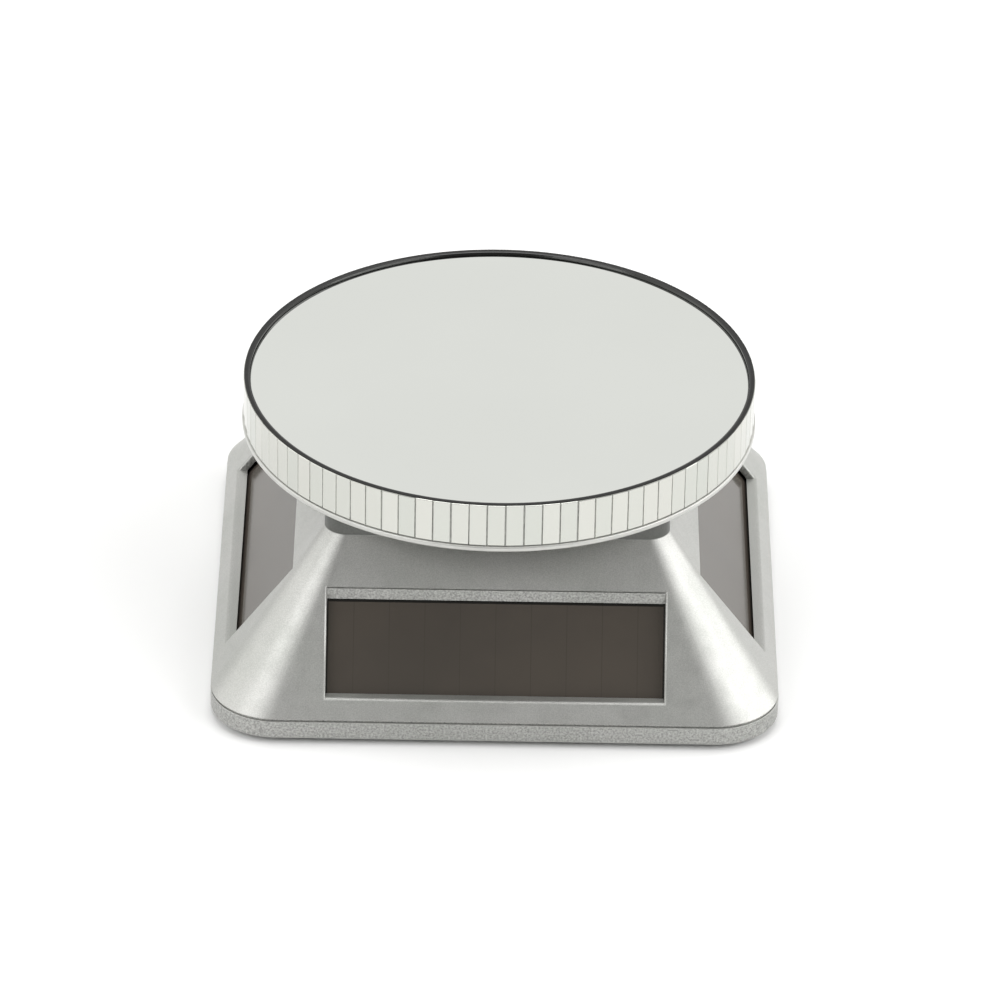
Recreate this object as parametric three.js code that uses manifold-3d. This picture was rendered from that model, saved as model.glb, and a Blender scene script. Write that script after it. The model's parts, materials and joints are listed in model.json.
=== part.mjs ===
// Solar-powered turntable display stand: a square, sloping-sided plastic housing with a solar cell
// behind a window in each side, and a mirror-topped platter that turns slowly on a spindle through its
// neck. Inside are a small DC motor, a three-stage spur gear reduction, an AA cell in a well closed by a
// hinged door, and the wiring.
// Millimetres, +Z up. The origin is on the table, under the middle of the stand, and -Y is the front.
import * as THREE from "three";
import { mergeVertices } from "three/addons/utils/BufferGeometryUtils.js";
import Module from "manifold-3d";

const wasm = await Module();
wasm.setup();

// ---- Driving dimensions ----
const BASE_W = 100; // outside width of the square base
const BASE_CORNER_R = 11.5;
const NECK_W = 60.6; // the square neck under the platter
const NECK_CORNER_R = 3.9;
const FOOT_DROP = 1; // the rubber feet stand this far below the base
const RIM_H = 4.3; // vertical rim round the foot of the housing
const SLOPE_H = 25.7; // height of the sloping sides
const NECK_H = 3;
const PLATTER_GAP = 3.3; // between the neck's deck and the platter
const PLATTER_H = 9.3;
const PLATTER_R = 45.5;
const WALL = 1.6; // thickness of the sloping walls
const THICK_WALL = 2; // rim, neck and deck
const RIM_STEP = 0.3; // the slope starts this far in from the rim
const CLEAR = 0.3; // gap that keeps neighbouring pieces apart
const RUNNING = 0.15; // radial clearance of a turning piece
const SNUG = 0.1; // gap round a piece that is fixed where it is
const PAST = 1; // how far a cutting tool runs past the face it opens

// ---- Heights ----
const Z_BASE = FOOT_DROP;
const Z_RIM = Z_BASE + RIM_H;
const Z_SHOULDER = Z_RIM + SLOPE_H;
const Z_DECK = Z_SHOULDER + NECK_H;
const Z_PLATTER = Z_DECK + PLATTER_GAP;
const Z_TOP = Z_PLATTER + PLATTER_H;

// ---- The sloping side ----
const SLOPE_RUN = BASE_W / 2 - RIM_STEP - NECK_W / 2;
const SLOPE_ANGLE = Math.atan2(SLOPE_H, SLOPE_RUN); // above the horizontal
const WALL_ACROSS = WALL / Math.sin(SLOPE_ANGLE); // the sloping wall, measured level
const slopeHalf = (z) => BASE_W / 2 - RIM_STEP - ((z - Z_RIM) * SLOPE_RUN) / SLOPE_H;

// ---- Windows and solar panels ----
const WINDOW_W = 59.2;
const WINDOW_LOW = Z_RIM + 2.7; // level sill at the window's lower edge
const WINDOW_HIGH = Z_RIM + 18.4; // where the window's upright upper wall meets the slope
const SIGHT_HIGH = WINDOW_HIGH - (WALL_ACROSS * SLOPE_H) / SLOPE_RUN; // the same wall's lower edge
const PANEL_T = 1.3;
const PANEL_LAP = 1.5; // the panel reaches this far behind the wall on each side of its window
const PANEL_W = WINDOW_W + 2 * PANEL_LAP;
const PANEL_L = (SIGHT_HIGH - WINDOW_LOW) / Math.sin(SLOPE_ANGLE) + 2 * PANEL_LAP;

// ---- Gear train: module, teeth, and the four axes seen from above ----
const GEAR_MODULE = 0.5;
const WHEEL_TEETH = 45;
const PINION_TEETH = 9;
const PROFILE_SHIFT = 0.4; // added to each pinion and taken from each wheel, against undercutting
const PRESSURE_ANGLE = THREE.MathUtils.degToRad(20);
const BACKLASH = 0.08; // taken off each tooth's thickness
const CENTRES = (GEAR_MODULE * (WHEEL_TEETH + PINION_TEETH)) / 2;
const step = (from, degrees) => {
  const angle = THREE.MathUtils.degToRad(degrees);
  return new THREE.Vector2(Math.cos(angle), Math.sin(angle)).multiplyScalar(CENTRES).add(from);
};
const SPINDLE_AXIS = new THREE.Vector2(0, 0);
const SECOND_AXIS = step(SPINDLE_AXIS, -150);
const FIRST_AXIS = step(SECOND_AXIS, -60);
const MOTOR_AXIS = step(FIRST_AXIS, 0);

// ---- Gearbox levels ----
const MOTOR_R = 12.2;
const MOTOR_H = 12.2;
const Z_MOTOR = 4.7;
const Z_MOTOR_FACE = Z_MOTOR + MOTOR_H;
const Z_FRAME = Z_MOTOR_FACE + 0.1;
const FRAME_T = 1.6;
const Z_GEARS = Z_FRAME + FRAME_T; // top of the lower frame plate
const FIRST_WHEEL = [Z_GEARS + 0.6, Z_GEARS + 2.4];
const FIRST_PINION_TOP = Z_GEARS + 5.4;
const SECOND_WHEEL = [Z_GEARS + 3.2, Z_GEARS + 5];
const SECOND_PINION_TOP = Z_GEARS + 8.4;
const OUTPUT_WHEEL = [Z_GEARS + 6, Z_GEARS + 8.4];
const Z_COVER = Z_GEARS + 9.2;
const COVER_TOP = Z_COVER + FRAME_T;
const ARBOR_R = 0.9;
const ARBOR_SEAT = 1; // depth of the arbors in each plate
const GEAR_FLOAT = 0.2; // free play of the gears along their arbors, at each end
const FRAME_X = [-26, 25.5];
const FRAME_Y = [-32, 17.5];
const COVER_Y = [-26, 17.5];
const PLATE_CORNER_R = 4;
const MOTOR_BOSS_R = 3;
const MOTOR_SCREW_AT = 6.5; // the motor screws' distance from its shaft
const PILLAR_R = 2.6;
const PILLAR_HOLE_R = 1.3;
const PILLARS = [
  [-22, 12],
  [14, 14],
  [-21, -22],
  [22, -8],
];

// ---- Spindle ----
const JOURNAL_R = 3;
const PIVOT_R = 1.5;
const FLAT_X = 2.2; // half the distance across the drive flats
const Z_HUB = Z_DECK + 1.3; // underside of the platter's hub
const Z_SPINDLE_TOP = Z_TOP - 5.8;
const FLANGE_R = 6; // the bush's flange and the washer on it
const BUSH_R = 4.5;

// ---- Platter ----
const BAND_T = 0.4; // the mirror mosaic band
const RING_W = 0.65; // the black ring that frames the mirror
const LIP_H = 1;
const LIP_R = PLATTER_R + 0.25;
const TRAY_R = PLATTER_R - BAND_T - 0.1;
const MIRROR_T = 2;
const MIRROR_DROP = 0.5; // the mirror lies this far below the ring's top
const MIRROR_R = TRAY_R - RING_W - 0.1;
const Z_MIRROR = Z_TOP - MIRROR_DROP;
const Z_TRAY_TOP = Z_MIRROR - MIRROR_T - 0.1;
const TRAY_SKIN = 2;
const TRAY_WALL = 1.7;
const HUB_R = 6.5;
const TILES = 90;
const TILE_TURN = 1.7; // degrees from the front to the nearest joint between tiles

// ---- Battery well, AA cell and door ----
const WELL_Y = 28;
const CELL_R = 7.1;
const CELL_LENGTH = 50.5; // with its nub
const CELL_Z = 11;
const WELL_R = CELL_R + 0.5;
const WELL_WALL = 1.4;
const WELL_HALF = 29; // half of the inside length
const CELL_NOSE = 27.9; // x of the nub's tip
const HINGE_X = -29.6;
const HINGE_Z = Z_BASE + 0.9;
const KNUCKLE_R = 0.8;
const KNUCKLE_AT = 5; // the two knuckles' distance from the well's middle
const KNUCKLE_W = 3;
const DOOR_T = 1.6;
const DOOR_HALF = 8.1; // half of the door's width
const LATCH_W = 6;
const PLATE_T = 2.4;
const Z_PLATE_TOP = Z_BASE + PLATE_T;
const TAB_W = 3; // the contacts' solder tabs
const TAB_Z = 2.2; // height of a tab's middle over the cell's axis

// ---- Fasteners and feet ----
const SCREW_AT = 39; // the corner screws' distance from both mid planes
const CASE_HEAD_R = 2.8;
const CASE_HEAD_H = 1.3;
const CASE_SHANK_R = 0.95;
const FEET_AT = [38, 27];
const FOOT_R = 4.5;
const FOOT_SEAT = 0.5; // depth of the feet in their sockets
const BOARD = { x: -33, y: -2, w: 16, d: 12, t: 1.2, z: 5.4 };

// ---- Materials ----
function finish(color, roughness, metalness = 0) {
  return new THREE.MeshStandardMaterial({ color, roughness, metalness });
}
const SILVER_PAINT = finish(0xa9aaa7, 0.42, 0.6);
const MIRROR_GLASS = finish(0xdfe2de, 0.04, 1);
const MOSAIC = finish(0xd9dad5, 0.15, 0.9);
const SOLAR_CELL = finish(0x4b4640, 0.18, 0.1);
const DARK_ABS = finish(0x34353a, 0.6);
const WHITE_ACETAL = finish(0xe9e6da, 0.5);
const NATURAL_NYLON = finish(0xd9d4c2, 0.45);
const STEEL = finish(0xb9bcbf, 0.3, 1);
const NICKEL = finish(0xc9c5ba, 0.3, 1);
const BRASS = finish(0xc8a24a, 0.3, 1);
const RUBBER = finish(0x26262a, 0.9);
const CELL_WRAP = finish(0x5f7f5a, 0.35);
const BOARD_GREEN = finish(0x2f6b42, 0.5);
const DIODE_BLACK = finish(0x1d1d1f, 0.4);
const RED_PVC = finish(0xb3271f, 0.5);
const BLACK_PVC = finish(0x1e1e20, 0.5);

// ---- Solids: a closed three.js geometry as a manifold-3d solid and back ----
function solid(geometry) {
  const bare = new THREE.BufferGeometry().setAttribute("position", geometry.getAttribute("position"));
  if (geometry.index) bare.setIndex(geometry.index);
  const merged = mergeVertices(bare, 1e-4);
  const corners = merged.index.array;
  const triVerts = [];
  for (let i = 0; i < corners.length; i += 3) {
    const [a, b, c] = corners.subarray(i, i + 3);
    if (a !== b && b !== c && c !== a) triVerts.push(a, b, c);
  }
  const build = (order) =>
    new wasm.Manifold(
      new wasm.Mesh({
        numProp: 3,
        vertProperties: merged.getAttribute("position").array,
        triVerts: new Uint32Array(order),
      }),
    );
  const made = build(triVerts);
  return made.volume() > 0 ? made : build(triVerts.reverse());
}

function geometryOf(made) {
  const { numProp, numVert, vertProperties, triVerts } = made.getMesh();
  const places = new Float32Array(numVert * 3);
  for (let i = 0; i < numVert; i++) {
    places.set(vertProperties.subarray(i * numProp, i * numProp + 3), i * 3);
  }
  const geometry = new THREE.BufferGeometry();
  geometry.setAttribute("position", new THREE.BufferAttribute(places, 3));
  geometry.setIndex(new THREE.BufferAttribute(new Uint32Array(triVerts), 1));
  geometry.computeVertexNormals();
  return geometry;
}

const join = (...solids) => solids.reduce((whole, next) => whole.add(next));
const cut = (whole, ...tools) => tools.reduce((left, tool) => left.subtract(tool), whole);

// ---- Basic shapes, each a solid in place ----
function box([x0, x1], [y0, y1], [z0, z1]) {
  const block = new THREE.BoxGeometry(x1 - x0, y1 - y0, z1 - z0);
  return solid(block.translate((x0 + x1) / 2, (y0 + y1) / 2, (z0 + z1) / 2));
}

function rod(radius, [z0, z1], x = 0, y = 0, sides = 16) {
  const upright = new THREE.CylinderGeometry(radius, radius, z1 - z0, sides).rotateX(Math.PI / 2);
  return solid(upright.translate(x, y, (z0 + z1) / 2));
}

// profile: [radius, z] pairs that start and end on the axis, or close on themselves.
function turned(profile, sides = 24) {
  const outline = profile.map(([r, z]) => new THREE.Vector2(r, z));
  return solid(new THREE.LatheGeometry(outline, sides).rotateX(Math.PI / 2));
}

function extruded(shape, [z0, z1], curveSegments = 3) {
  const settings = { depth: z1 - z0, bevelEnabled: false, curveSegments };
  return solid(new THREE.ExtrudeGeometry(shape, settings).translate(0, 0, z0));
}

function roundedRectangle([x0, x1], [y0, y1], r) {
  const shape = new THREE.Shape();
  shape.absarc(x1 - r, y0 + r, r, -Math.PI / 2, 0);
  shape.absarc(x1 - r, y1 - r, r, 0, Math.PI / 2);
  shape.absarc(x0 + r, y1 - r, r, Math.PI / 2, Math.PI);
  shape.absarc(x0 + r, y0 + r, r, Math.PI, 1.5 * Math.PI);
  return shape;
}

// A stack of rounded squares, each { z, half, r }, joined by straight walls and closed at both ends.
function loft(rings) {
  const outlines = rings.map(({ z, half, r }) =>
    roundedRectangle([-half, half], [-half, half], r)
      .getPoints(3)
      .filter((point, i, all) => i === 0 || point.distanceTo(all[i - 1]) > 1e-6)
      .map((point) => new THREE.Vector3(point.x, point.y, z)),
  );
  const n = outlines[0].length;
  const triangles = [];
  outlines.slice(1).forEach((upper, level) => {
    const lower = outlines[level];
    for (let i = 0; i < n; i++) {
      const j = (i + 1) % n;
      triangles.push(lower[i], lower[j], upper[j], lower[i], upper[j], upper[i]);
    }
  });
  const first = outlines[0];
  const last = outlines[outlines.length - 1];
  for (let i = 1; i < n - 1; i++) {
    triangles.push(first[0], first[i + 1], first[i]);
    triangles.push(last[0], last[i], last[i + 1]);
  }
  return solid(new THREE.BufferGeometry().setFromPoints(triangles));
}

function tube(points, radius, steps, sides = 8) {
  const section = new THREE.Shape();
  section.absarc(0, 0, radius, 0, 2 * Math.PI);
  const path = new THREE.CatmullRomCurve3(points.map((p) => new THREE.Vector3(...p)));
  const curveSegments = sides / 2; // each of these makes two sides of the section
  const settings = { steps, extrudePath: path, curveSegments, bevelEnabled: false };
  return new THREE.ExtrudeGeometry(section, settings);
}

// ---- Scene graph ----
const stand = new THREE.Group();

function piece(name, shape, material, [x, y, z] = [0, 0, 0], parent = stand) {
  const mesh = new THREE.Mesh(shape.isBufferGeometry ? shape : geometryOf(shape), material);
  mesh.name = name;
  mesh.position.set(x, y, z);
  parent.add(mesh);
  return mesh;
}

const CORNERS = { front_left: [-1, -1], front_right: [1, -1], rear_left: [-1, 1], rear_right: [1, 1] };
const CORNER_SIGNS = Object.values(CORNERS);
const SIDES = { front: 0, right: 90, rear: 180, left: 270 }; // degrees round from the front

// ---- Upper housing: a thin shell with four windows, corner screw bosses and gearbox bosses ----
function upperHousing() {
  const outer = loft([
    { z: Z_BASE, half: BASE_W / 2, r: BASE_CORNER_R },
    { z: Z_RIM, half: BASE_W / 2, r: BASE_CORNER_R },
    { z: Z_RIM, half: slopeHalf(Z_RIM), r: BASE_CORNER_R - RIM_STEP },
    { z: Z_SHOULDER, half: NECK_W / 2, r: NECK_CORNER_R },
    { z: Z_DECK, half: NECK_W / 2, r: NECK_CORNER_R },
  ]);
  const insideHalf = NECK_W / 2 - THICK_WALL;
  const insideShoulder = Z_RIM + ((slopeHalf(Z_RIM) - WALL_ACROSS - insideHalf) * SLOPE_H) / SLOPE_RUN;
  const inner = loft([
    { z: Z_BASE - PAST, half: BASE_W / 2 - THICK_WALL, r: BASE_CORNER_R - THICK_WALL },
    { z: Z_RIM, half: BASE_W / 2 - THICK_WALL, r: BASE_CORNER_R - THICK_WALL },
    { z: insideShoulder, half: insideHalf, r: NECK_CORNER_R - THICK_WALL },
    { z: Z_DECK - THICK_WALL, half: insideHalf, r: NECK_CORNER_R - THICK_WALL },
  ]);
  const window = box(
    [-WINDOW_W / 2, WINDOW_W / 2],
    [-BASE_W / 2, -slopeHalf(WINDOW_HIGH)],
    [WINDOW_LOW, Z_SHOULDER],
  );
  const windows = Object.values(SIDES).map((degrees) => window.rotate([0, 0, degrees]));
  const boss = { top: 16, r: 3.2, holeR: 1.1, holeTop: 11 };
  const corners = CORNER_SIGNS.map(([sx, sy]) => [sx * SCREW_AT, sy * SCREW_AT]);
  const cornerPosts = corners.map(([x, y]) => rod(boss.r, [Z_PLATE_TOP, boss.top], x, y));
  const cornerHoles = corners.map(([x, y]) => rod(boss.holeR, [0, boss.holeTop], x, y));
  const gearBosses = PILLARS.map(([x, y]) => rod(PILLAR_R, [COVER_TOP, Z_DECK - PAST], x, y));
  const gearHoleSpan = [COVER_TOP - PAST, Z_DECK - THICK_WALL];
  const gearHoles = PILLARS.map(([x, y]) => rod(PILLAR_HOLE_R, gearHoleSpan, x, y));
  const bushHole = rod(BUSH_R + RUNNING, [Z_COVER, Z_PLATTER], 0, 0, 36);
  const shell = cut(outer, inner, ...windows);
  const cornerBosses = join(...cornerPosts).intersect(outer);
  return cut(join(shell, cornerBosses, ...gearBosses), ...cornerHoles, ...gearHoles, bushHole);
}
piece("upper_housing", upperHousing(), SILVER_PAINT);

// ---- Solar panels: a glass cell behind each window, in a group turned to its side and leaned back ----
for (const [side, degrees] of Object.entries(SIDES)) {
  const turn = new THREE.Group();
  turn.rotation.z = THREE.MathUtils.degToRad(degrees);
  const lean = new THREE.Group();
  const middle = (WINDOW_LOW + SIGHT_HIGH) / 2;
  lean.position.set(0, -(slopeHalf(middle) - WALL_ACROSS), middle);
  lean.rotation.x = SLOPE_ANGLE;
  turn.add(lean);
  stand.add(turn);
  const slab = new THREE.BoxGeometry(PANEL_W, PANEL_L, PANEL_T);
  piece(`solar_panel_${side}`, slab, SOLAR_CELL, [0, 0, -CLEAR - PANEL_T / 2], lean);
}

// ---- Base plate, with the battery well, and the counterbores and sockets in its underside ----
function archSolid(radius, [x0, x1], zLow) {
  const section = new THREE.Shape();
  section.moveTo(-radius, zLow - CELL_Z);
  section.lineTo(radius, zLow - CELL_Z);
  section.absarc(0, 0, radius, 0, Math.PI);
  const settings = { depth: x1 - x0, bevelEnabled: false, curveSegments: 6 };
  const along = new THREE.ExtrudeGeometry(section, settings).rotateX(Math.PI / 2);
  return solid(along.rotateZ(Math.PI / 2).translate(x0, WELL_Y, CELL_Z));
}

function basePlate() {
  const half = BASE_W / 2 - THICK_WALL - CLEAR;
  const r = BASE_CORNER_R - THICK_WALL - CLEAR;
  const plate = extruded(roundedRectangle([-half, half], [-half, half], r), [Z_BASE, Z_PLATE_TOP]);
  const outside = WELL_HALF + WELL_WALL;
  const below = Z_BASE - PAST;
  const across = (half) => [WELL_Y - half, WELL_Y + half];
  const well = archSolid(WELL_R + WELL_WALL, [-outside, outside], Z_BASE + 0.5);
  const inside = archSolid(WELL_R, [-WELL_HALF, WELL_HALF], below);
  const hingeEnd = HINGE_X - KNUCKLE_R - 0.5;
  const rebateHalf = DOOR_HALF + CLEAR;
  const rebate = box([hingeEnd, WELL_HALF - CLEAR], across(rebateHalf), [below, Z_BASE + DOOR_T + SNUG]);
  const hingePocket = box([hingeEnd, 0.5 - WELL_HALF], across(rebateHalf), [below, HINGE_Z + 1.1]);
  const notchZ = [Z_PLATE_TOP, Z_PLATE_TOP + 2];
  const latchNotch = box([WELL_HALF - 1, outside + PAST], across(LATCH_W / 2 + 0.4), notchZ);
  const tabZ = [CELL_Z + TAB_Z - 0.6, CELL_Z + TAB_Z + 0.6];
  const tabSlot = box([-outside - PAST, outside + PAST], across(TAB_W / 2 + 0.5), tabZ);
  const screws = CORNER_SIGNS.flatMap(([sx, sy]) => [
    rod(1.6, [0, Z_RIM], sx * SCREW_AT, sy * SCREW_AT),
    rod(CASE_HEAD_R + 0.4, [0, Z_BASE + CASE_HEAD_H + SNUG], sx * SCREW_AT, sy * SCREW_AT),
  ]);
  const sockets = CORNER_SIGNS.map(([sx, sy]) =>
    rod(FOOT_R + CLEAR, [0, Z_BASE + FOOT_SEAT + SNUG], sx * FEET_AT[0], sy * FEET_AT[1]),
  );
  const pegZ = [Z_PLATE_TOP - 0.5, BOARD.z - SNUG];
  const pegs = [-5, 5].map((dx) => rod(1.5, pegZ, BOARD.x + dx, BOARD.y));
  const openings = [inside, rebate, hingePocket, latchNotch, tabSlot];
  return cut(join(plate, well, ...pegs), ...openings, ...screws, ...sockets);
}
piece("base_plate", basePlate(), SILVER_PAINT);

// ---- Feet and the screws that hold the base plate ----
const footTop = Z_BASE + FOOT_SEAT;
const footShape = turned([[0, 0], [FOOT_R - 0.4, 0], [FOOT_R, 0.4], [FOOT_R, footTop], [0, footTop]]);

// A pan-head screw with a cross recess, its head's bearing face at z 0 and its shank along +Z.
function screw({ headR, headH, shankR, length }) {
  const crown = [[0, -headH], [headR * 0.7, -headH], [headR, -headH * 0.6]];
  const head = turned([...crown, [headR, 0], [0, 0]], 16);
  const slot = headR * 0.55;
  const recess = [0, 90].map((degrees) =>
    box([-slot, slot], [-slot / 4, slot / 4], [-headH - PAST, -headH * 0.45]).rotate([0, 0, degrees]),
  );
  return cut(join(head, rod(shankR, [-0.1, length], 0, 0, 12)), ...recess);
}

const CASE_SCREW = screw({
  headR: CASE_HEAD_R,
  headH: CASE_HEAD_H,
  shankR: CASE_SHANK_R,
  length: 8.5,
});
for (const [corner, [sx, sy]] of Object.entries(CORNERS)) {
  piece(`foot_${corner}`, footShape, RUBBER, [sx * FEET_AT[0], sy * FEET_AT[1], 0]);
  const seat = [sx * SCREW_AT, sy * SCREW_AT, Z_BASE + CASE_HEAD_H + SNUG / 2];
  piece(`housing_screw_${corner}`, CASE_SCREW, STEEL, seat);
}

// ---- Battery door: a plate with two hinge knuckles at one end and a sprung latch at the other ----
function batteryDoor() {
  const across = (y, half) => [y - half, y + half];
  const plateX = [HINGE_X + 1.4, WELL_HALF - 2 * CLEAR];
  const plate = box(plateX, across(WELL_Y, DOOR_HALF), [Z_BASE, Z_BASE + DOOR_T]);
  const pin = rod(KNUCKLE_R, [-KNUCKLE_W / 2, KNUCKLE_W / 2], 0, 0, 12).rotate([90, 0, 0]);
  const knuckles = [WELL_Y - KNUCKLE_AT, WELL_Y + KNUCKLE_AT].flatMap((y) => [
    pin.translate([HINGE_X, y, HINGE_Z]),
    box([HINGE_X, HINGE_X + 2], across(y, KNUCKLE_W / 2), [HINGE_Z - 0.6, HINGE_Z + 0.6]),
  ]);
  const latch = across(WELL_Y, LATCH_W / 2);
  const tongueX = WELL_HALF - 0.8;
  const tongue = box([tongueX - 0.8, tongueX], latch, [Z_BASE + 1, Z_PLATE_TOP + 1.8]);
  const nibZ = [Z_PLATE_TOP + 0.2, Z_PLATE_TOP + 0.9];
  const nib = box([tongueX - 0.4, WELL_HALF + 0.6], latch, nibZ);
  return join(plate, ...knuckles, tongue, nib);
}
piece("battery_door", batteryDoor(), SILVER_PAINT);

// ---- AA cell and its contacts, lying along X ----
function aaCell() {
  const canEnd = CELL_LENGTH - 1;
  const nubR = 2.75;
  const edge = [[CELL_R - 0.5, 0], [CELL_R, 0.5], [CELL_R, canEnd - 0.8], [CELL_R - 0.8, canEnd]];
  return turned([[0, 0], ...edge, [nubR, canEnd], [nubR, CELL_LENGTH], [0, CELL_LENGTH]], 32);
}
const alongX = (mesh) => mesh.rotateY(Math.PI / 2);
alongX(piece("aa_cell", aaCell(), CELL_WRAP, [CELL_NOSE - CELL_LENGTH, WELL_Y, CELL_Z]));

const CONTACT_T = 0.4;
function contact(tabX) {
  const plate = box([-CONTACT_T / 2, CONTACT_T / 2], [-5, 5], [-5, 5]);
  const tabZ = [TAB_Z - CONTACT_T / 2, TAB_Z + CONTACT_T / 2];
  return join(plate, box(tabX, [-TAB_W / 2, TAB_W / 2], tabZ));
}
piece("positive_contact", contact([0, 3.6]), NICKEL, [CELL_NOSE + 0.4, WELL_Y, CELL_Z]);
piece("negative_contact", contact([-3.6, 0]), NICKEL, [-CELL_NOSE - 0.5, WELL_Y, CELL_Z]);

function contactSpring() {
  const turns = 3.5;
  const steps = turns * 10;
  const length = 4.4;
  const [wideR, narrowR] = [4.4, 2.8];
  const points = [];
  for (let i = 0; i <= steps; i++) {
    const along = i / steps;
    const angle = along * turns * 2 * Math.PI;
    const radius = THREE.MathUtils.lerp(wideR, narrowR, along);
    points.push([along * length, radius * Math.cos(angle), radius * Math.sin(angle)]);
  }
  return tube(points, 0.35, steps, 6);
}
piece("contact_spring", contactSpring(), NICKEL, [-CELL_NOSE + 0.35, WELL_Y, CELL_Z]);

// ---- Gears ----
const involute = (angle) => Math.tan(angle) - angle;

// A spur gear's outline with a tooth centred on +X.
function gearShape(teeth, shift, flankPoints) {
  const pitchR = (GEAR_MODULE * teeth) / 2;
  const baseR = pitchR * Math.cos(PRESSURE_ANGLE);
  const tipR = pitchR + GEAR_MODULE * (1 + shift);
  const rootR = pitchR - GEAR_MODULE * (1.25 - shift);
  const thickness = GEAR_MODULE * (Math.PI / 2 + 2 * shift * Math.tan(PRESSURE_ANGLE)) - BACKLASH;
  const pitchHalf = thickness / (2 * pitchR) + involute(PRESSURE_ANGLE);
  const halfAngle = (r) => pitchHalf - involute(Math.acos(baseR / Math.max(r, baseR)));
  const flank = [];
  for (let i = 0; i < flankPoints; i++) {
    flank.push(THREE.MathUtils.lerp(rootR, tipR, i / (flankPoints - 1)));
  }
  const points = [];
  for (let tooth = 0; tooth < teeth; tooth++) {
    const middle = (tooth * 2 * Math.PI) / teeth;
    const place = (r, angle) => points.push(new THREE.Vector2(r * Math.cos(angle), r * Math.sin(angle)));
    flank.forEach((r) => place(r, middle - halfAngle(r)));
    [...flank].reverse().forEach((r) => place(r, middle + halfAngle(r)));
  }
  return new THREE.Shape(points);
}
const wheelSolid = (levels) => extruded(gearShape(WHEEL_TEETH, -PROFILE_SHIFT, 2), levels);
const pinionSolid = (levels) => extruded(gearShape(PINION_TEETH, PROFILE_SHIFT, 4), levels);

// The turn that puts gear b in mesh with gear a, which is turned by phaseA, on the line from a to b.
function meshPhase(phaseA, teethA, axisA, axisB, teethB) {
  const line = Math.atan2(axisB.y - axisA.y, axisB.x - axisA.x);
  const toothShare = ((line - phaseA) * teethA) / (2 * Math.PI);
  return line + Math.PI - ((0.5 - toothShare) * 2 * Math.PI) / teethB;
}
const SECOND_PINION_TURN = meshPhase(0, WHEEL_TEETH, SPINDLE_AXIS, SECOND_AXIS, PINION_TEETH);
const FIRST_PINION_TURN = meshPhase(0, WHEEL_TEETH, SECOND_AXIS, FIRST_AXIS, PINION_TEETH);
const MOTOR_PINION_TURN = meshPhase(0, WHEEL_TEETH, FIRST_AXIS, MOTOR_AXIS, PINION_TEETH);

// A large wheel and a small pinion moulded as one, turning freely on a fixed arbor.
function compoundGear(wheel, pinionTop, pinionTurn) {
  const turn = THREE.MathUtils.radToDeg(pinionTurn);
  const pinion = pinionSolid([wheel[1] - 0.2, pinionTop]).rotate([0, 0, turn]);
  const hub = rod(1.75, [Z_GEARS + GEAR_FLOAT, Z_COVER - GEAR_FLOAT]);
  return cut(join(wheelSolid(wheel), pinion, hub), rod(ARBOR_R + RUNNING, [Z_GEARS, Z_COVER]));
}
const firstGear = compoundGear(FIRST_WHEEL, FIRST_PINION_TOP, FIRST_PINION_TURN);
const secondGear = compoundGear(SECOND_WHEEL, SECOND_PINION_TOP, SECOND_PINION_TURN);
piece("first_reduction_gear", firstGear, WHITE_ACETAL, [...FIRST_AXIS, 0]);
piece("second_reduction_gear", secondGear, WHITE_ACETAL, [...SECOND_AXIS, 0]);
const arbor = rod(ARBOR_R, [Z_GEARS - ARBOR_SEAT, Z_COVER + ARBOR_SEAT]);
piece("first_arbor", arbor, STEEL, [...FIRST_AXIS, 0]);
piece("second_arbor", arbor, STEEL, [...SECOND_AXIS, 0]);

// ---- Output gear and spindle in one: pivot below, journal above, drive flats and a screw hole on top ----
function outputSpindle() {
  const pivot = rod(PIVOT_R, [Z_GEARS - ARBOR_SEAT, OUTPUT_WHEEL[0] + 0.5]);
  const journal = rod(JOURNAL_R, [OUTPUT_WHEEL[1] - 0.5, Z_SPINDLE_TOP]);
  const shave = box([FLAT_X, JOURNAL_R + PAST], [-4, 4], [Z_HUB - 0.2, Z_SPINDLE_TOP + PAST]);
  const pilot = rod(1.05, [Z_SPINDLE_TOP - 8, Z_SPINDLE_TOP + PAST], 0, 0, 12);
  const whole = join(wheelSolid(OUTPUT_WHEEL), pivot, journal);
  return cut(whole, shave, shave.rotate([0, 0, 180]), pilot);
}
piece("output_gear_spindle", outputSpindle(), WHITE_ACETAL);

// A hoop of rectangular section, between two radii and two heights.
function hoop([r0, r1], [z0, z1], sides) {
  return turned([[r0, z0], [r1, z0], [r1, z1], [r0, z1], [r0, z0]], sides);
}

// ---- Bush in the deck and the washer that the hub turns on ----
const BORE_R = JOURNAL_R + RUNNING;
const BUSH_LOW = Z_DECK - 3;
const FLANGE = [Z_DECK + 0.05, Z_DECK + 0.6];
const bushSolid = turned([
  [BORE_R, BUSH_LOW], [BUSH_R, BUSH_LOW], [BUSH_R, FLANGE[0]], [FLANGE_R, FLANGE[0]],
  [FLANGE_R, FLANGE[1]], [BORE_R, FLANGE[1]], [BORE_R, BUSH_LOW],
]);
piece("spindle_bush", bushSolid, BRASS);
const washerZ = [FLANGE[1] + SNUG, Z_HUB - SNUG];
piece("thrust_washer", hoop([3.4, FLANGE_R], washerZ, 24), NATURAL_NYLON);

// ---- Gearbox frame: a lower plate with pillars, and a cover plate ----
const pillarRods = (radius, span) => PILLARS.map(([x, y]) => rod(radius, span, x, y));
const arborHoles = (span) => [FIRST_AXIS, SECOND_AXIS].map(({ x, y }) => rod(ARBOR_R + SNUG, span, x, y));

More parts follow.
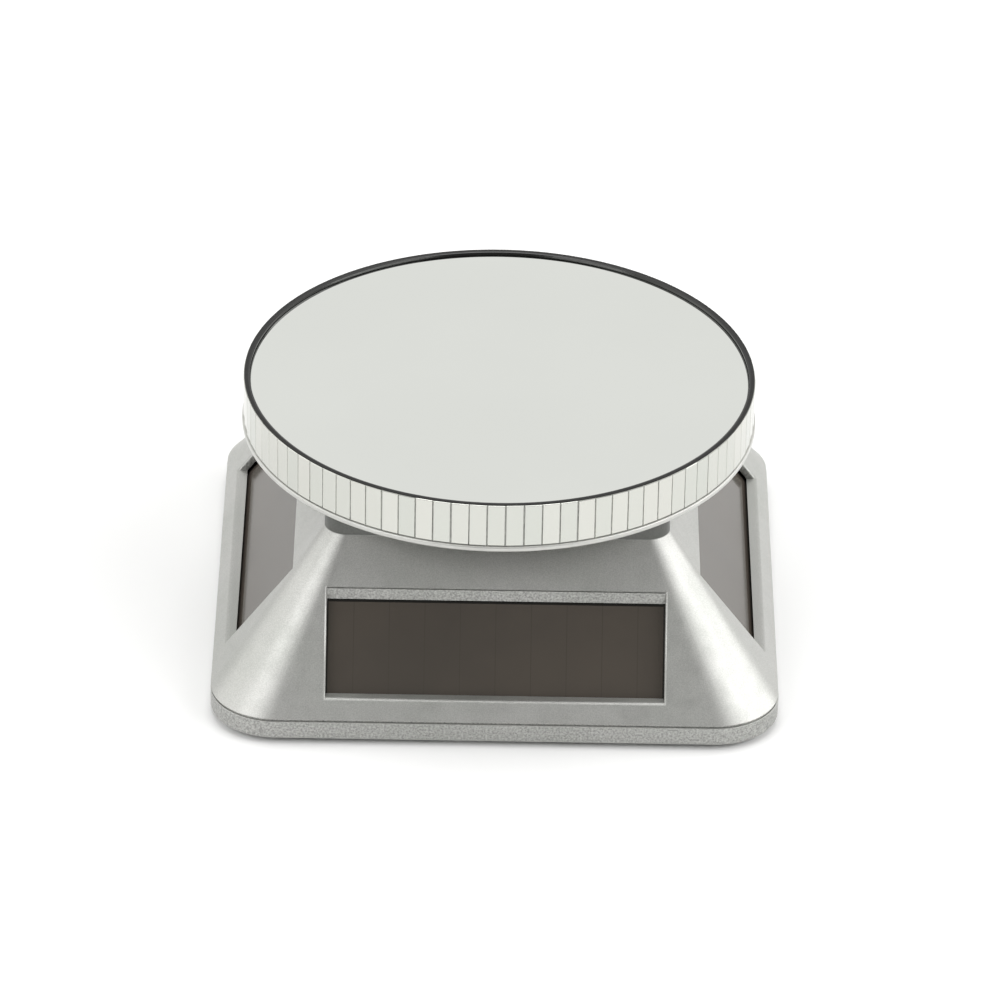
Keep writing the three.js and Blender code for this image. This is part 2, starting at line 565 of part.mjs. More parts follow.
function gearboxFrame() {
  const plate = extruded(roundedRectangle(FRAME_X, FRAME_Y, PLATE_CORNER_R), [Z_FRAME, Z_GEARS]);
  const through = [Z_FRAME - PAST, Z_COVER + PAST];
  const blind = [Z_GEARS - ARBOR_SEAT - SNUG, Z_COVER];
  const { x, y } = MOTOR_AXIS;
  const screwYs = [y - MOTOR_SCREW_AT, y + MOTOR_SCREW_AT];
  return cut(
    join(plate, ...pillarRods(PILLAR_R, [Z_GEARS - 0.5, Z_COVER])),
    ...pillarRods(PILLAR_HOLE_R, through),
    ...arborHoles(blind),
    rod(PIVOT_R + RUNNING, blind),
    rod(MOTOR_BOSS_R + 0.4, through, x, y),
    ...screwYs.map((screwY) => rod(1, through, x, screwY)),
  );
}
piece("gearbox_frame", gearboxFrame(), DARK_ABS);

function gearboxCover() {
  const outline = roundedRectangle(FRAME_X, COVER_Y, PLATE_CORNER_R);
  return cut(
    extruded(outline, [Z_COVER, COVER_TOP - SNUG]),
    ...pillarRods(PILLAR_HOLE_R, [Z_COVER - PAST, COVER_TOP + PAST]),
    ...arborHoles([Z_COVER - PAST, Z_COVER + ARBOR_SEAT + SNUG]),
    rod(JOURNAL_R + CLEAR, [Z_COVER - PAST, Z_DECK]),
  );
}
piece("gearbox_cover", gearboxCover(), DARK_ABS);

const LONG_SCREW = screw({ headR: 2.2, headH: 1.2, shankR: 0.95, length: COVER_TOP - Z_FRAME + 2 });
PILLARS.forEach(([x, y], i) => piece(`gearbox_screw_${i + 1}`, LONG_SCREW, STEEL, [x, y, Z_FRAME - 0.05]));

// ---- Motor: a round can hung under the frame, its shaft and its pinion ----
const SHAFT_R = 1;
const SHAFT_SEAT = 5.5; // the shaft's length inside the can
function motorCan() {
  const edge = 0.8;
  const bossTop = MOTOR_H + 0.9;
  const can = turned([
    [0, 0], [MOTOR_R - edge, 0], [MOTOR_R, edge], [MOTOR_R, MOTOR_H - edge], [MOTOR_R - edge, MOTOR_H],
    [MOTOR_BOSS_R, MOTOR_H], [MOTOR_BOSS_R, bossTop], [0, bossTop],
  ]);
  const shaftHole = rod(SHAFT_R + 0.2, [MOTOR_H - SHAFT_SEAT - 0.5, bossTop + PAST]);
  const screwYs = [-MOTOR_SCREW_AT, MOTOR_SCREW_AT];
  const screwHoles = screwYs.map((y) => rod(0.95, [MOTOR_H - 2.5, MOTOR_H + PAST], 0, y));
  return cut(can, shaftHole, ...screwHoles);
}
const MOTOR_PLACE = [...MOTOR_AXIS, Z_MOTOR];
piece("motor", motorCan(), STEEL, MOTOR_PLACE);
piece("motor_shaft", rod(SHAFT_R, [MOTOR_H - SHAFT_SEAT, MOTOR_H + 6.2]), STEEL, MOTOR_PLACE);
const pinionZ = [Z_GEARS + GEAR_FLOAT, FIRST_WHEEL[1] + 1];
const motorPinion = cut(pinionSolid(pinionZ), rod(SHAFT_R + SNUG, [Z_GEARS, Z_COVER]));
piece("motor_pinion", motorPinion, BRASS, [...MOTOR_AXIS, 0]).rotation.z = MOTOR_PINION_TURN;
const MOTOR_SCREW = screw({ headR: 1.6, headH: 0.8, shankR: 0.7, length: 3.4 });
[-MOTOR_SCREW_AT, MOTOR_SCREW_AT].forEach((dy, i) => {
  const seat = [MOTOR_AXIS.x, MOTOR_AXIS.y + dy, Z_GEARS + SNUG / 2];
  piece(`motor_screw_${i + 1}`, MOTOR_SCREW, STEEL, seat).rotation.x = Math.PI;
});

// ---- Platter: tray with a lip, mirror disc, mosaic band and the screw that holds it on ----
function platterTray() {
  const skinLow = Z_TRAY_TOP - TRAY_SKIN;
  const wallR = TRAY_R - TRAY_WALL;
  const lipTop = Z_PLATTER + LIP_H;
  const body = turned(
    [
      [0, Z_HUB], [HUB_R, Z_HUB], [HUB_R, skinLow], [wallR, skinLow], [wallR, Z_PLATTER],
      [LIP_R, Z_PLATTER], [LIP_R, lipTop], [TRAY_R, lipTop], [TRAY_R, Z_TRAY_TOP], [0, Z_TRAY_TOP],
    ],
    48,
  );
  const rib = box([HUB_R - 1, wallR + 0.5], [-0.6, 0.6], [Z_PLATTER + 1.5, skinLow + 0.5]);
  const ribs = [15, 75, 135, 195, 255, 315].map((degrees) => rib.rotate([0, 0, degrees]));
  const driveTop = Z_SPINDLE_TOP + CLEAR;
  const driveZ = [Z_HUB - PAST, driveTop];
  const flats = box([-FLAT_X - SNUG, FLAT_X + SNUG], [-4, 4], driveZ);
  const driveHole = rod(JOURNAL_R + SNUG, driveZ).intersect(flats);
  const screwHole = rod(1.3, [driveTop - PAST, Z_TOP]);
  const headPocket = rod(3.4, [driveTop + 0.8, Z_TOP]);
  return cut(join(body, ...ribs), driveHole, screwHole, headPocket);
}
piece("platter_tray", platterTray(), SILVER_PAINT);

const mirrorSolid = turned([[0, 0], [MIRROR_R, 0], [MIRROR_R, MIRROR_T], [0, MIRROR_T]], 64);
piece("mirror_disc", mirrorSolid, MIRROR_GLASS, [0, 0, Z_MIRROR - MIRROR_T]);

const ringSolid = hoop([TRAY_R - RING_W, TRAY_R], [Z_TRAY_TOP + SNUG, Z_TOP], 64);
piece("rim_ring", ringSolid, DARK_ABS);

const bandZ = [Z_PLATTER + LIP_H + SNUG, Z_TOP - SNUG / 2];
const bandSolid = hoop([PLATTER_R - BAND_T, PLATTER_R], bandZ, TILES);
piece("mosaic_band", bandSolid, MOSAIC).rotation.z = THREE.MathUtils.degToRad(TILE_TURN);

const PLATTER_SCREW = screw({ headR: 2.7, headH: 1.3, shankR: 0.85, length: 7.5 });
piece("platter_screw", PLATTER_SCREW, STEEL, [0, 0, Z_SPINDLE_TOP + 1.2]).rotation.x = Math.PI;

// ---- Circuit board with the diode that stops the cell feeding the panels ----
const boardTop = BOARD.z + BOARD.t;
const boardSolid = new THREE.BoxGeometry(BOARD.w, BOARD.d, BOARD.t);
piece("circuit_board", boardSolid, BOARD_GREEN, [BOARD.x, BOARD.y, BOARD.z + BOARD.t / 2]);
const diodePlace = [BOARD.x - 2, BOARD.y, boardTop + 1.2];
alongX(piece("blocking_diode", rod(1.1, [-2.3, 2.3]), DIODE_BLACK, diodePlace));

// ---- Leads: twin wires from each panel, the motor and both contacts to the board ----
const LEAD_R = 0.7;
const LEAD_END_Z = boardTop + LEAD_R + CLEAR;
const LEAD_FLOOR_Z = Z_PLATE_TOP + 1.2; // a lead lying along the base plate
const TAB_TOP_Z = CELL_Z + TAB_Z;

// How far from the middle a lead starts behind a panel, at height z.
function panelBack(z) {
  return slopeHalf(z) - WALL_ACROSS - (CLEAR + PANEL_T) / Math.sin(SLOPE_ANGLE) - 1.2;
}

function lead(name, material, points) {
  piece(name, tube(points, LEAD_R, points.length * 3), material);
}
lead("front_panel_lead", RED_PVC, [
  [-24, -panelBack(11), 11],
  [-27, -34, 7],
  [-31, -22, LEAD_FLOOR_Z],
  [-32, -11, LEAD_END_Z - 0.5],
  [-32, -6, LEAD_END_Z],
]);
lead("left_panel_lead", RED_PVC, [
  [-panelBack(12), 12, 12],
  [-37, 10, 9],
  [-36, 6, LEAD_END_Z + 0.3],
  [-36, 2, LEAD_END_Z],
]);
lead("rear_panel_lead", BLACK_PVC, [
  [-33.5, panelBack(11), 11],
  [-35, 35, 7.5],
  [-36, 22, 5.5],
  [-34, 9, 6.6],
  [-33.5, 2.2, LEAD_END_Z],
]);
lead("right_panel_lead", BLACK_PVC, [
  [panelBack(11), -8, 11],
  [36, -2, 7.5],
  [30, 4, LEAD_FLOOR_Z],
  [8, 5, LEAD_FLOOR_Z],
  [-16, 2, LEAD_FLOOR_Z],
  [-24, 1, LEAD_END_Z - 0.3],
  [-28, 1, LEAD_END_Z],
]);
lead("motor_lead", RED_PVC, [
  [-4.2, -17, 7.5],
  [-10, -14, 6],
  [-18, -8, 5.4],
  [-24, -5, LEAD_END_Z - 0.2],
  [-27.5, -5, LEAD_END_Z],
]);
lead("positive_lead", RED_PVC, [
  [33, WELL_Y, TAB_TOP_Z],
  [35, 20, 8],
  [28, 12, 5.2],
  [8, 12, LEAD_FLOOR_Z],
  [-14, 9, LEAD_FLOOR_Z],
  [-23, 4.5, LEAD_END_Z - 0.3],
  [-28, 3.2, LEAD_END_Z],
]);
lead("negative_lead", BLACK_PVC, [
  [-33, WELL_Y, TAB_TOP_Z],
  [-33, 22, 9.5],
  [-30.5, 12, 6.2],
  [-30.5, 3, LEAD_END_Z],
]);

export default stand;
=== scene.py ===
import json
import math
import random

import bmesh
import bpy
from mathutils import Matrix, Vector


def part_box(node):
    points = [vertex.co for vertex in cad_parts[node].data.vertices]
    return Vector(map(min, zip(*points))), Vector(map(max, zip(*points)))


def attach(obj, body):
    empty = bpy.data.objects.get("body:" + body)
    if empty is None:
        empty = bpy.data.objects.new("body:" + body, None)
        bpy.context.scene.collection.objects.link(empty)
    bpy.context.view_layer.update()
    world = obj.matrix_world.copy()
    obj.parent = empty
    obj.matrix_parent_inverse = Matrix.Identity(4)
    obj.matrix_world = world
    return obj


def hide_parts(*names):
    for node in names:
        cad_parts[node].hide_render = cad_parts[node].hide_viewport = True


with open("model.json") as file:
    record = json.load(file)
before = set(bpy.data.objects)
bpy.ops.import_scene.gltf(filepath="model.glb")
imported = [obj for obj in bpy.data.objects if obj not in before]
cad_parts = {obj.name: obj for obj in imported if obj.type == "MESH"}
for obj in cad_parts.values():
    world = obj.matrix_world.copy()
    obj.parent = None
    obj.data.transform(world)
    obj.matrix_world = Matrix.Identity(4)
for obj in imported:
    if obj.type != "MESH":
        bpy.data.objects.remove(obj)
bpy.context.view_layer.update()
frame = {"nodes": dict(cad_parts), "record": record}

MM = 0.001

# ---- Driving dimensions, in millimetres; the rest comes from the frame ----
housing_low, housing_high = (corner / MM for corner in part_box("upper_housing"))
BASE_HALF = housing_high.x
Z_BASE = housing_low.z
Z_DECK = housing_high.z
RIM_H = 4.3
RIM_STEP = 0.3  # the slopes start this far inside the upright rim
RIM_CORNER = 11.2  # plan radius of the housing's corners at the rim
NECK_H = 3
NECK_HALF = 30.3
NECK_CORNER = 3.9
WALL = 1.6  # of the slopes
THICK_WALL = 2  # of the rim, the neck and the deck
Z_RIM = Z_BASE + RIM_H
Z_SHOULDER = Z_DECK - NECK_H
SLOPE_RUN = BASE_HALF - RIM_STEP - NECK_HALF
SLOPE_H = Z_SHOULDER - Z_RIM
SLOPE_ANGLE = math.atan2(SLOPE_H, SLOPE_RUN)
SEAM_LOW = Z_RIM - 0.8  # a thin seam runs round between the slopes and the upright rim
SEAM_HIGH = Z_RIM - 0.4
SEAM_DEEP = 0.35
WINDOW_HALF = 29.6
WINDOW_LOW = Z_RIM + 2.7
WINDOW_HIGH = Z_RIM + 18.4
WINDOW_ROUND = 0.45  # radius that the windows' sides and sills are rounded to
WINDOW_EASE = 0.12  # the edge at a window's top is chamfered from this far below it
WINDOW_GROOVE = 0.25  # width and depth of the fine groove just under that chamfer
PANEL_W = 2 * WINDOW_HALF + 3
PANEL_THICK = 1.3
PANEL_ARRIS = 0.18
CELLS = 10  # on each panel
BUSH_HOLE_R = 4.65
SIDES = {"front": 0, "right": 90, "rear": 180, "left": 270}


def slope_half(z):
    """Half the housing's width at a height on its slope."""
    return BASE_HALF - RIM_STEP - (z - Z_RIM) * SLOPE_RUN / SLOPE_H


# ---- Node helpers ----
class Nodes:
    """A material's or world's node tree, with short ways to add and link nodes."""

    def __init__(self, tree):
        self.tree = tree
        tree.nodes.clear()

    def add(self, kind, **values):
        node = self.tree.nodes.new(kind)
        for name, value in values.items():
            setattr(node, name, value)
        return node

    def feed(self, socket, value):
        if isinstance(value, bpy.types.NodeSocket):
            self.tree.links.new(value, socket)
        else:
            socket.default_value = value

    def math(self, operation, a, b=0.0):
        node = self.add("ShaderNodeMath", operation=operation)
        self.feed(node.inputs[0], a)
        self.feed(node.inputs[1], b)
        return node.outputs[0]

    def ramp(self, value, low, high, to_low=0.0, to_high=1.0):
        node = self.add("ShaderNodeMapRange", interpolation_type="SMOOTHSTEP")
        for socket, given in zip(node.inputs, (value, low, high, to_low, to_high)):
            self.feed(socket, given)
        return node.outputs[0]

    def noise(self, scale, detail=2.0, roughness=0.5):
        node = self.add("ShaderNodeTexNoise")
        self.feed(node.inputs["Scale"], scale)
        self.feed(node.inputs["Detail"], detail)
        self.feed(node.inputs["Roughness"], roughness)
        self.feed(node.inputs["Vector"], self.place())
        return node.outputs[0]

    def place(self):
        """The object's own coordinates, in metres."""
        return self.add("ShaderNodeTexCoord").outputs["Object"]

    def mix(self, factor, a, b, blend="MIX"):
        # Inputs 6 and 7 and output 2 are this node's colours.
        node = self.add("ShaderNodeMix", data_type="RGBA", blend_type=blend)
        self.feed(node.inputs[0], factor)
        self.feed(node.inputs[6], a)
        self.feed(node.inputs[7], b)
        return node.outputs[2]

    def bump(self, height, strength, distance, normal=None):
        node = self.add("ShaderNodeBump")
        self.feed(node.inputs["Strength"], strength)
        self.feed(node.inputs["Distance"], distance)
        self.feed(node.inputs["Height"], height)
        if normal:
            self.feed(node.inputs["Normal"], normal)
        return node.outputs[0]


def material(name, color, roughness, normal=None, metallic=0.0, **sockets):
    """A Principled material; color, roughness and normal are functions of its Nodes, or plain values."""
    made = bpy.data.materials.new(name)
    made.use_nodes = True
    nodes = Nodes(made.node_tree)
    shader = nodes.add("ShaderNodeBsdfPrincipled")
    for socket, value in (("Base Color", color), ("Roughness", roughness), ("Normal", normal)):
        if value is not None:
            nodes.feed(shader.inputs[socket], value(nodes) if callable(value) else value)
    shader.inputs["Metallic"].default_value = metallic
    for socket, value in sockets.items():
        shader.inputs[socket].default_value = value
    output = nodes.add("ShaderNodeOutputMaterial")
    nodes.feed(output.inputs["Surface"], shader.outputs[0])
    return made


def srgb(r, g, b):
    """A colour given as it shows on screen, 0 to 255, in linear light."""

    def linear(value):
        share = value / 255
        return share / 12.92 if share <= 0.04045 else ((share + 0.055) / 1.055) ** 2.4

    return (linear(r), linear(g), linear(b), 1.0)


def drift(n, scale, low=0.0, high=1.0):
    """Soft clouds of noise between two values."""
    return n.ramp(n.noise(scale, 3.0), 0.3, 0.7, low, high)


def mottled(light, dark, scale):
    """A colour that drifts between two shades."""
    return lambda n: n.mix(drift(n, scale), dark, light)


def uneven(low, high, scale):
    """A roughness that drifts between two values."""
    return lambda n: drift(n, scale, low, high)


def grained(scale, strength, distance=0.00005):
    """A moulded or cast surface's fine grain."""
    return lambda n: n.bump(n.noise(scale, 2.0), strength, distance)


def finish(name, light, dark, cloud, roughness, patch, grain=None, metallic=0.0, **sockets):
    """A material between two shades in clouds and two roughnesses in patches, with a fine grain."""
    color = mottled(srgb(*light), srgb(*dark), cloud)
    normal = grained(*grain) if grain else None
    return material(name, color, uneven(*roughness, patch), normal, metallic, **sockets)


# ---- Materials ----
STIPPLE = (2600, 2.0, 0.6)  # scale, detail and roughness of the noise behind the coarse stipple
SILVER_METALLIC = 0.78


def standing_faces(n):
    """1 on faces that stand upright, 0 on the slopes and level faces."""
    normal = n.add("ShaderNodeSeparateXYZ")
    n.feed(normal.inputs[0], n.add("ShaderNodeNewGeometry").outputs["Normal"])
    return n.ramp(n.math("ABSOLUTE", normal.outputs[2]), 0.12, 0.3, 1.0, 0.0)


def neck_share(n):
    """1 on the neck, which is painted darker as painted shade under the platter, and hasn't the coarse
    stipple.
    """
    at = n.add("ShaderNodeSeparateXYZ")
    n.feed(at.inputs[0], n.place())
    return n.ramp(at.outputs[2], (Z_SHOULDER - 0.1) * MM, (Z_SHOULDER + 0.1) * MM)


def stippled_share(n):
    """1 where the coarse stipple is: on upright faces below the neck."""
    return n.math("MULTIPLY", standing_faces(n), n.math("SUBTRACT", 1.0, neck_share(n)))


def paint_color(n):
    """Silver paint: tiny flakes all over, a coarse stipple on the upright faces, and painted shade on the
    neck under the platter.
    """
    flakes = n.ramp(n.noise(5500, 1.0), 0.25, 0.75, 0.86, 1.09)
    stipple = n.ramp(n.noise(*STIPPLE), 0.28, 0.72, 0.56, 1.10)
    # Inputs 2 and 3 are this node's plain numbers.
    coarse = n.add("ShaderNodeMix", data_type="FLOAT")
    n.feed(coarse.inputs[0], stippled_share(n))
    n.feed(coarse.inputs[2], flakes)
    n.feed(coarse.inputs[3], stipple)
    silver = n.mix(drift(n, 60), srgb(176, 177, 173), srgb(182, 182, 179))
    # painted shade: the neck under the platter is painted a darker grey
    neck_painted_shade = srgb(97, 98, 95)
    base = n.mix(neck_share(n), silver, neck_painted_shade)
    shade = n.add("ShaderNodeCombineColor")
    for socket in shade.inputs:
        n.feed(socket, coarse.outputs[0])
    return n.mix(1.0, base, shade.outputs[0], "MULTIPLY")


def paint_normal(n):
    """The paint's fine grain, and the stipple's dents over it."""
    fine = n.bump(n.noise(7000, 2.0), 0.12, 0.00003)
    strength = n.math("MULTIPLY", stippled_share(n), 0.8)
    return n.bump(n.noise(*STIPPLE), strength, 0.00012, fine)


SILVER = material("silver_paint", paint_color, uneven(0.37, 0.43, 400), paint_normal, SILVER_METALLIC)
SATIN_SILVER = finish(
    "silver_satin", (176, 177, 173), (182, 182, 179), 60, (0.34, 0.42), 400, (5500, 0.15, 0.00003),
    SILVER_METALLIC,
)
PLATTER_SILVER = finish(
    "platter_silver", (200, 200, 196), (192, 192, 188), 300, (0.28, 0.36), 500, (6000, 0.12), 0.55
)
MIRROR = finish("mirror_glass", (243, 245, 241), (241, 243, 239), 25, (0.008, 0.02), 12, None, 1.0)
GROUND_EDGE = finish(
    "ground_glass_edge", (150, 168, 158), (120, 138, 128), 900, (0.3, 0.5), 2000, (3000, 0.3), 0.3
)


def tile_color(n):
    """Each tile has its own slight tint."""
    tint = n.add("ShaderNodeAttribute", attribute_name="tile_tint")
    cool, warm = srgb(198, 200, 194), srgb(206, 206, 200)
    return n.mix(tint.outputs["Fac"], cool, warm)


TILE_GLASS = material(
    "tile_mirror", tile_color, uneven(0.03, 0.08, 900), grained(700, 0.05, 0.0001), metallic=0.95
)
TILE_JOINT = finish(
    "tile_backing", (176, 177, 171), (146, 147, 143), 1500, (0.55, 0.75), 800, (2500, 0.4)
)
RING_BLACK = finish(
    "ring_black", (26, 26, 25), (18, 18, 17), 900, (0.3, 0.42), 700, (4000, 0.25),
    **{"Specular IOR Level": 0.25},
)
RING_GLOSS = finish("ring_gloss", (16, 16, 15), (10, 10, 10), 900, (0.12, 0.22), 700, (3000, 0.1))


def cell_color(n):
    """Amorphous silicon: brown, with faint scribe lines between its cells, and a near-black painted
    shadow along the window's top and sides.
    """
    at = n.add("ShaderNodeAttribute", attribute_name="across").outputs["Fac"]
    line = n.ramp(n.math("PINGPONG", at, 0.5), 0.0, 0.02, 1.0, 0.0)
    aside = n.math("ABSOLUTE", n.math("SUBTRACT", at, CELLS / 2))
    # painted shadow: near-black on the cell where the window's top wall and sides shade it
    edge_at = WINDOW_HALF * CELLS / PANEL_W
    side_shadow = n.ramp(aside, edge_at - 0.05, edge_at - 0.03)
    up = n.add("ShaderNodeAttribute", attribute_name="above_window").outputs["Fac"]
    cell_shadow = n.math("MAXIMUM", side_shadow, n.ramp(up, -0.4, -0.3))
    silicon = n.mix(drift(n, 45), srgb(68, 63, 58), srgb(74, 68, 62))
    scribed, shadow_black = srgb(64, 60, 54), srgb(16, 15, 14)
    return n.mix(cell_shadow, n.mix(line, silicon, scribed), shadow_black)


CELL = material(
    "solar_glass", cell_color, uneven(0.10, 0.16, 60), grained(5000, 0.04),
    **{"IOR": 1.46, "Specular Tint": (1.0, 0.99, 0.9, 1.0)},
)
CELL_EDGE = finish("solar_edge", (60, 66, 62), (38, 42, 40), 1200, (0.2, 0.4), 900)
RUBBER = finish("foot_rubber", (44, 44, 47), (34, 34, 36), 800, (0.7, 0.85), 900, (3500, 0.35, 0.0001))
BLACK_ABS = finish("black_abs", (46, 47, 50), (38, 39, 42), 300, (0.5, 0.62), 900, (3000, 0.25))
STEEL = finish("zinc_steel", (196, 198, 200), (176, 178, 181), 600, (0.22, 0.38), 900, (2500, 0.12), 1.0)
BRASS = finish("turned_brass", (214, 180, 98), (196, 160, 80), 500, (0.2, 0.34), 900, (2500, 0.12), 1.0)
NICKEL = finish("nickel_strip", (208, 204, 192), (190, 186, 175), 500, (0.2, 0.32), 900, (3000, 0.1), 1.0)
ACETAL = finish("white_acetal", (236, 233, 222), (226, 222, 208), 200, (0.35, 0.48), 700, (2500, 0.1))
NYLON = finish("natural_nylon", (222, 214, 192), (208, 200, 176), 300, (0.4, 0.5), 700, (2500, 0.1))
WRAP = finish("cell_wrap", (98, 128, 92), (88, 118, 84), 120, (0.22, 0.32), 300, (900, 0.08))
WRAP_BAND = finish(
    "cell_wrap_band", (196, 190, 170), (184, 178, 158), 120, (0.22, 0.32), 300, (900, 0.08), 0.4
)
BOARD = finish("solder_mask", (46, 104, 66), (36, 88, 54), 700, (0.3, 0.45), 900, (1800, 0.15))
DIODE = finish("diode_epoxy", (34, 34, 36), (24, 24, 26), 1500, (0.3, 0.4), 900, (2500, 0.1))
RED_PVC = finish("red_pvc", (180, 42, 34), (160, 34, 28), 400, (0.4, 0.52), 900, (1800, 0.1))
BLACK_PVC = finish("black_pvc", (36, 36, 38), (26, 26, 28), 400, (0.4, 0.52), 900, (1800, 0.1))

SLOT_MATERIALS = {
    "silver_paint": SILVER, "mirror": MIRROR, "mosaic": TILE_GLASS, "black_abs": BLACK_ABS,
    "solar_cell": CELL, "rubber": RUBBER, "steel": STEEL, "acetal": ACETAL, "nylon": NYLON,
    "brass": BRASS, "nickel": NICKEL, "cell_wrap": WRAP, "board": BOARD, "diode": DIODE,
    "red_wire": RED_PVC, "black_wire": BLACK_PVC,
}
# The CAD nodes that no piece below replaces show in the material of their slot.
for subpart in frame["record"]["subparts"]:
    slots = frame["nodes"][subpart["node"]].data.materials
    slots.clear()
    slots.append(SLOT_MATERIALS[subpart["material_slot"]])


# ---- Mesh helpers; lengths go in as millimetres ----
def rounded(points, closed=True, steps=4):
    """A flat outline of (x, y) corners, with an arc at each one given as (x, y, fillet radius)."""
    outline = []
    for i, (x, y, *fillet) in enumerate(points):
        corner = Vector((x, y))
        if not fillet or (not closed and i in (0, len(points) - 1)):
            outline.append(corner)
            continue
        before = (Vector(points[i - 1][:2]) - corner).normalized()
        after = (Vector(points[(i + 1) % len(points)][:2]) - corner).normalized()
        half = before.angle(after) / 2
        centre = corner + (before + after).normalized() * (fillet[0] / math.sin(half))
        arm = corner + before * (fillet[0] / math.tan(half)) - centre
        end = corner + after * (fillet[0] / math.tan(half)) - centre
        sweep = math.copysign(math.pi - 2 * half, arm.x * end.y - arm.y * end.x)
        for step in range(steps + 1):
            outline.append(centre + Matrix.Rotation(sweep * step / steps, 2) @ arm)
    return outline


def bridge(bm, low, high, tag=0):
    """Faces between two rings of vertices; a ring of one vertex is a pole."""
    count = max(len(low), len(high))
    for i in range(count):
        j = (i + 1) % count
        corners = (low[i % len(low)], low[j % len(low)], high[j % len(high)], high[i % len(high)])
        unique = list(dict.fromkeys(corners))
        if len(unique) > 2:
            bm.faces.new(unique).material_index = tag


def lofted(bm, rings):
    """A closed solid through rings of vertices, with a face across each end."""
    for low, high in zip(rings, rings[1:]):
        bridge(bm, low, high)
    bm.faces.new(rings[0])
    bm.faces.new(rings[-1])
    bmesh.ops.recalc_face_normals(bm, faces=bm.faces)
    return bm


def lathe(profile, segments, closed=False, tags=None):
    """A solid of revolution about Z from (radius, z) points. tags gives each band its material index."""
    bm = bmesh.new()
    rings = []
    for r, z in profile:
        turns = range(segments) if r > 1e-6 else (0,)
        angles = [2 * math.pi * i / segments for i in turns]
        rings.append([bm.verts.new(Vector((r * math.cos(a), r * math.sin(a), z)) * MM) for a in angles])
    uppers = rings[1:] + (rings[:1] if closed else [])
    for i, (low, high) in enumerate(zip(rings, uppers)):
        bridge(bm, low, high, tags(profile[i], profile[(i + 1) % len(profile)]) if tags else 0)
    bmesh.ops.recalc_face_normals(bm, faces=bm.faces)
    return bm


def cylinder(radius, z, x=0.0, y=0.0, segments=32):
    """An upright cylinder between two heights."""
    bm = lathe([(0, z[0]), (radius, z[0]), (radius, z[1]), (0, z[1])], segments)
    return moved(bm, shift(x, y, 0))


def block(x, y, z):
    """A box between two x, two y and two z values."""
    bm = bmesh.new()
    bmesh.ops.create_cube(bm, size=1)
    size = Vector((x[1] - x[0], y[1] - y[0], z[1] - z[0])) * MM
    middle = Vector((x[0] + x[1], y[0] + y[1], z[0] + z[1])) * MM / 2
    return moved(bm, Matrix.Translation(middle) @ Matrix.Diagonal((*size, 1)))


def prism(outline, z):
    """An upright prism between two heights, from (x, y) points."""
    bm = bmesh.new()
    rings = [[bm.verts.new(Vector((*point, level)) * MM) for point in outline] for level in z]
    return lofted(bm, rings)


def along_x(bm):
    """What was built along Z now lies along X, with its X along Y and its Y along Z."""
    return moved(bm, turned(math.pi / 2) @ turned(math.pi / 2, "X"))


def tube(path, radius, sides=10):
    """A round wire through a list of points."""
    bm = bmesh.new()
    rings = []
    side = None
    for i, point in enumerate(path):
        ahead = (path[min(i + 1, len(path) - 1)] - path[max(i - 1, 0)]).normalized()
        side = ahead.orthogonal() if side is None else side - ahead * side.dot(ahead)
        side.normalize()
        up = ahead.cross(side)
        ring = []
        for k in range(sides):
            angle = 2 * math.pi * k / sides
            outward = side * math.cos(angle) + up * math.sin(angle)
            ring.append(bm.verts.new((point + outward * radius) * MM))
        rings.append(ring)
    return lofted(bm, rings)


def shift(x, y, z):
    """A move in millimetres, as a matrix."""
    return Matrix.Translation(Vector((x, y, z)) * MM)


def turned(angle, axis="Z"):
    """A turn in radians, as a matrix."""
    return Matrix.Rotation(angle, 4, axis)


def moved(bm, matrix):
    """The same mesh, moved by a matrix."""
    bmesh.ops.transform(bm, matrix=matrix, verts=bm.verts)
    return bm


def as_mesh(bm, name):
    """The bmesh as mesh data; the bmesh is used up."""
    mesh = bpy.data.meshes.new(name)
    bm.to_mesh(mesh)
    bm.free()
    return mesh


def placed(name, data):
    """A new object in the scene."""
    obj = bpy.data.objects.new(name, data)
    bpy.context.scene.collection.objects.link(obj)
    return obj


def merged(*parts):
    """Several meshes as one, with no boolean."""
    whole = bmesh.new()
    for part in parts:
        mesh = as_mesh(part, "part")
        whole.from_mesh(mesh)
        bpy.data.meshes.remove(mesh)
    return whole


def combine(bm, tool, operation):
    """A boolean of two closed meshes."""
    pair = [placed("operand", as_mesh(part, "operand")) for part in (bm, tool)]
    modifier = pair[0].modifiers.new("combine", "BOOLEAN")
    modifier.operation = operation
    modifier.solver = "EXACT"
    modifier.object = pair[1]
    result = bmesh.new()
    result.from_object(pair[0], bpy.context.evaluated_depsgraph_get())
    for obj in pair:
        mesh = obj.data
        bpy.data.objects.remove(obj)
        bpy.data.meshes.remove(mesh)
    return result


def soften(bm, edges, width, segments=3):
    """Rounds the edges given over a width in millimetres."""
    bmesh.ops.bevel(bm, geom=edges, offset=width * MM, segments=segments, profile=0.5, affect="EDGES")
    return bm


def piece(name, bm, materials, body, node, sharp=35):
    """A finished piece: smooth where it curves, riding on its body, in place of the CAD node named."""
    bmesh.ops.remove_doubles(bm, verts=bm.verts, dist=1e-7)
    mesh = as_mesh(bm, name)
    for surface in materials:
        mesh.materials.append(surface)
    mesh.shade_smooth()
    mesh.set_sharp_from_angle(angle=math.radians(sharp))
    obj = placed(name, mesh)
    obj.modifiers.new("normals", "WEIGHTED_NORMAL").keep_sharp = True
    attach(obj, body)
    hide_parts(node)


# ---- Housing ----
def corner_radius(half, z):
    """Plan radius of the housing's corners where it is this wide at this height."""
    share = min(max((z - Z_RIM) / SLOPE_H, 0), 1)
    nominal = RIM_CORNER + (NECK_CORNER - RIM_CORNER) * share
    inset = slope_half(Z_RIM + share * SLOPE_H) - half
    return max(nominal - inset, 0.4)


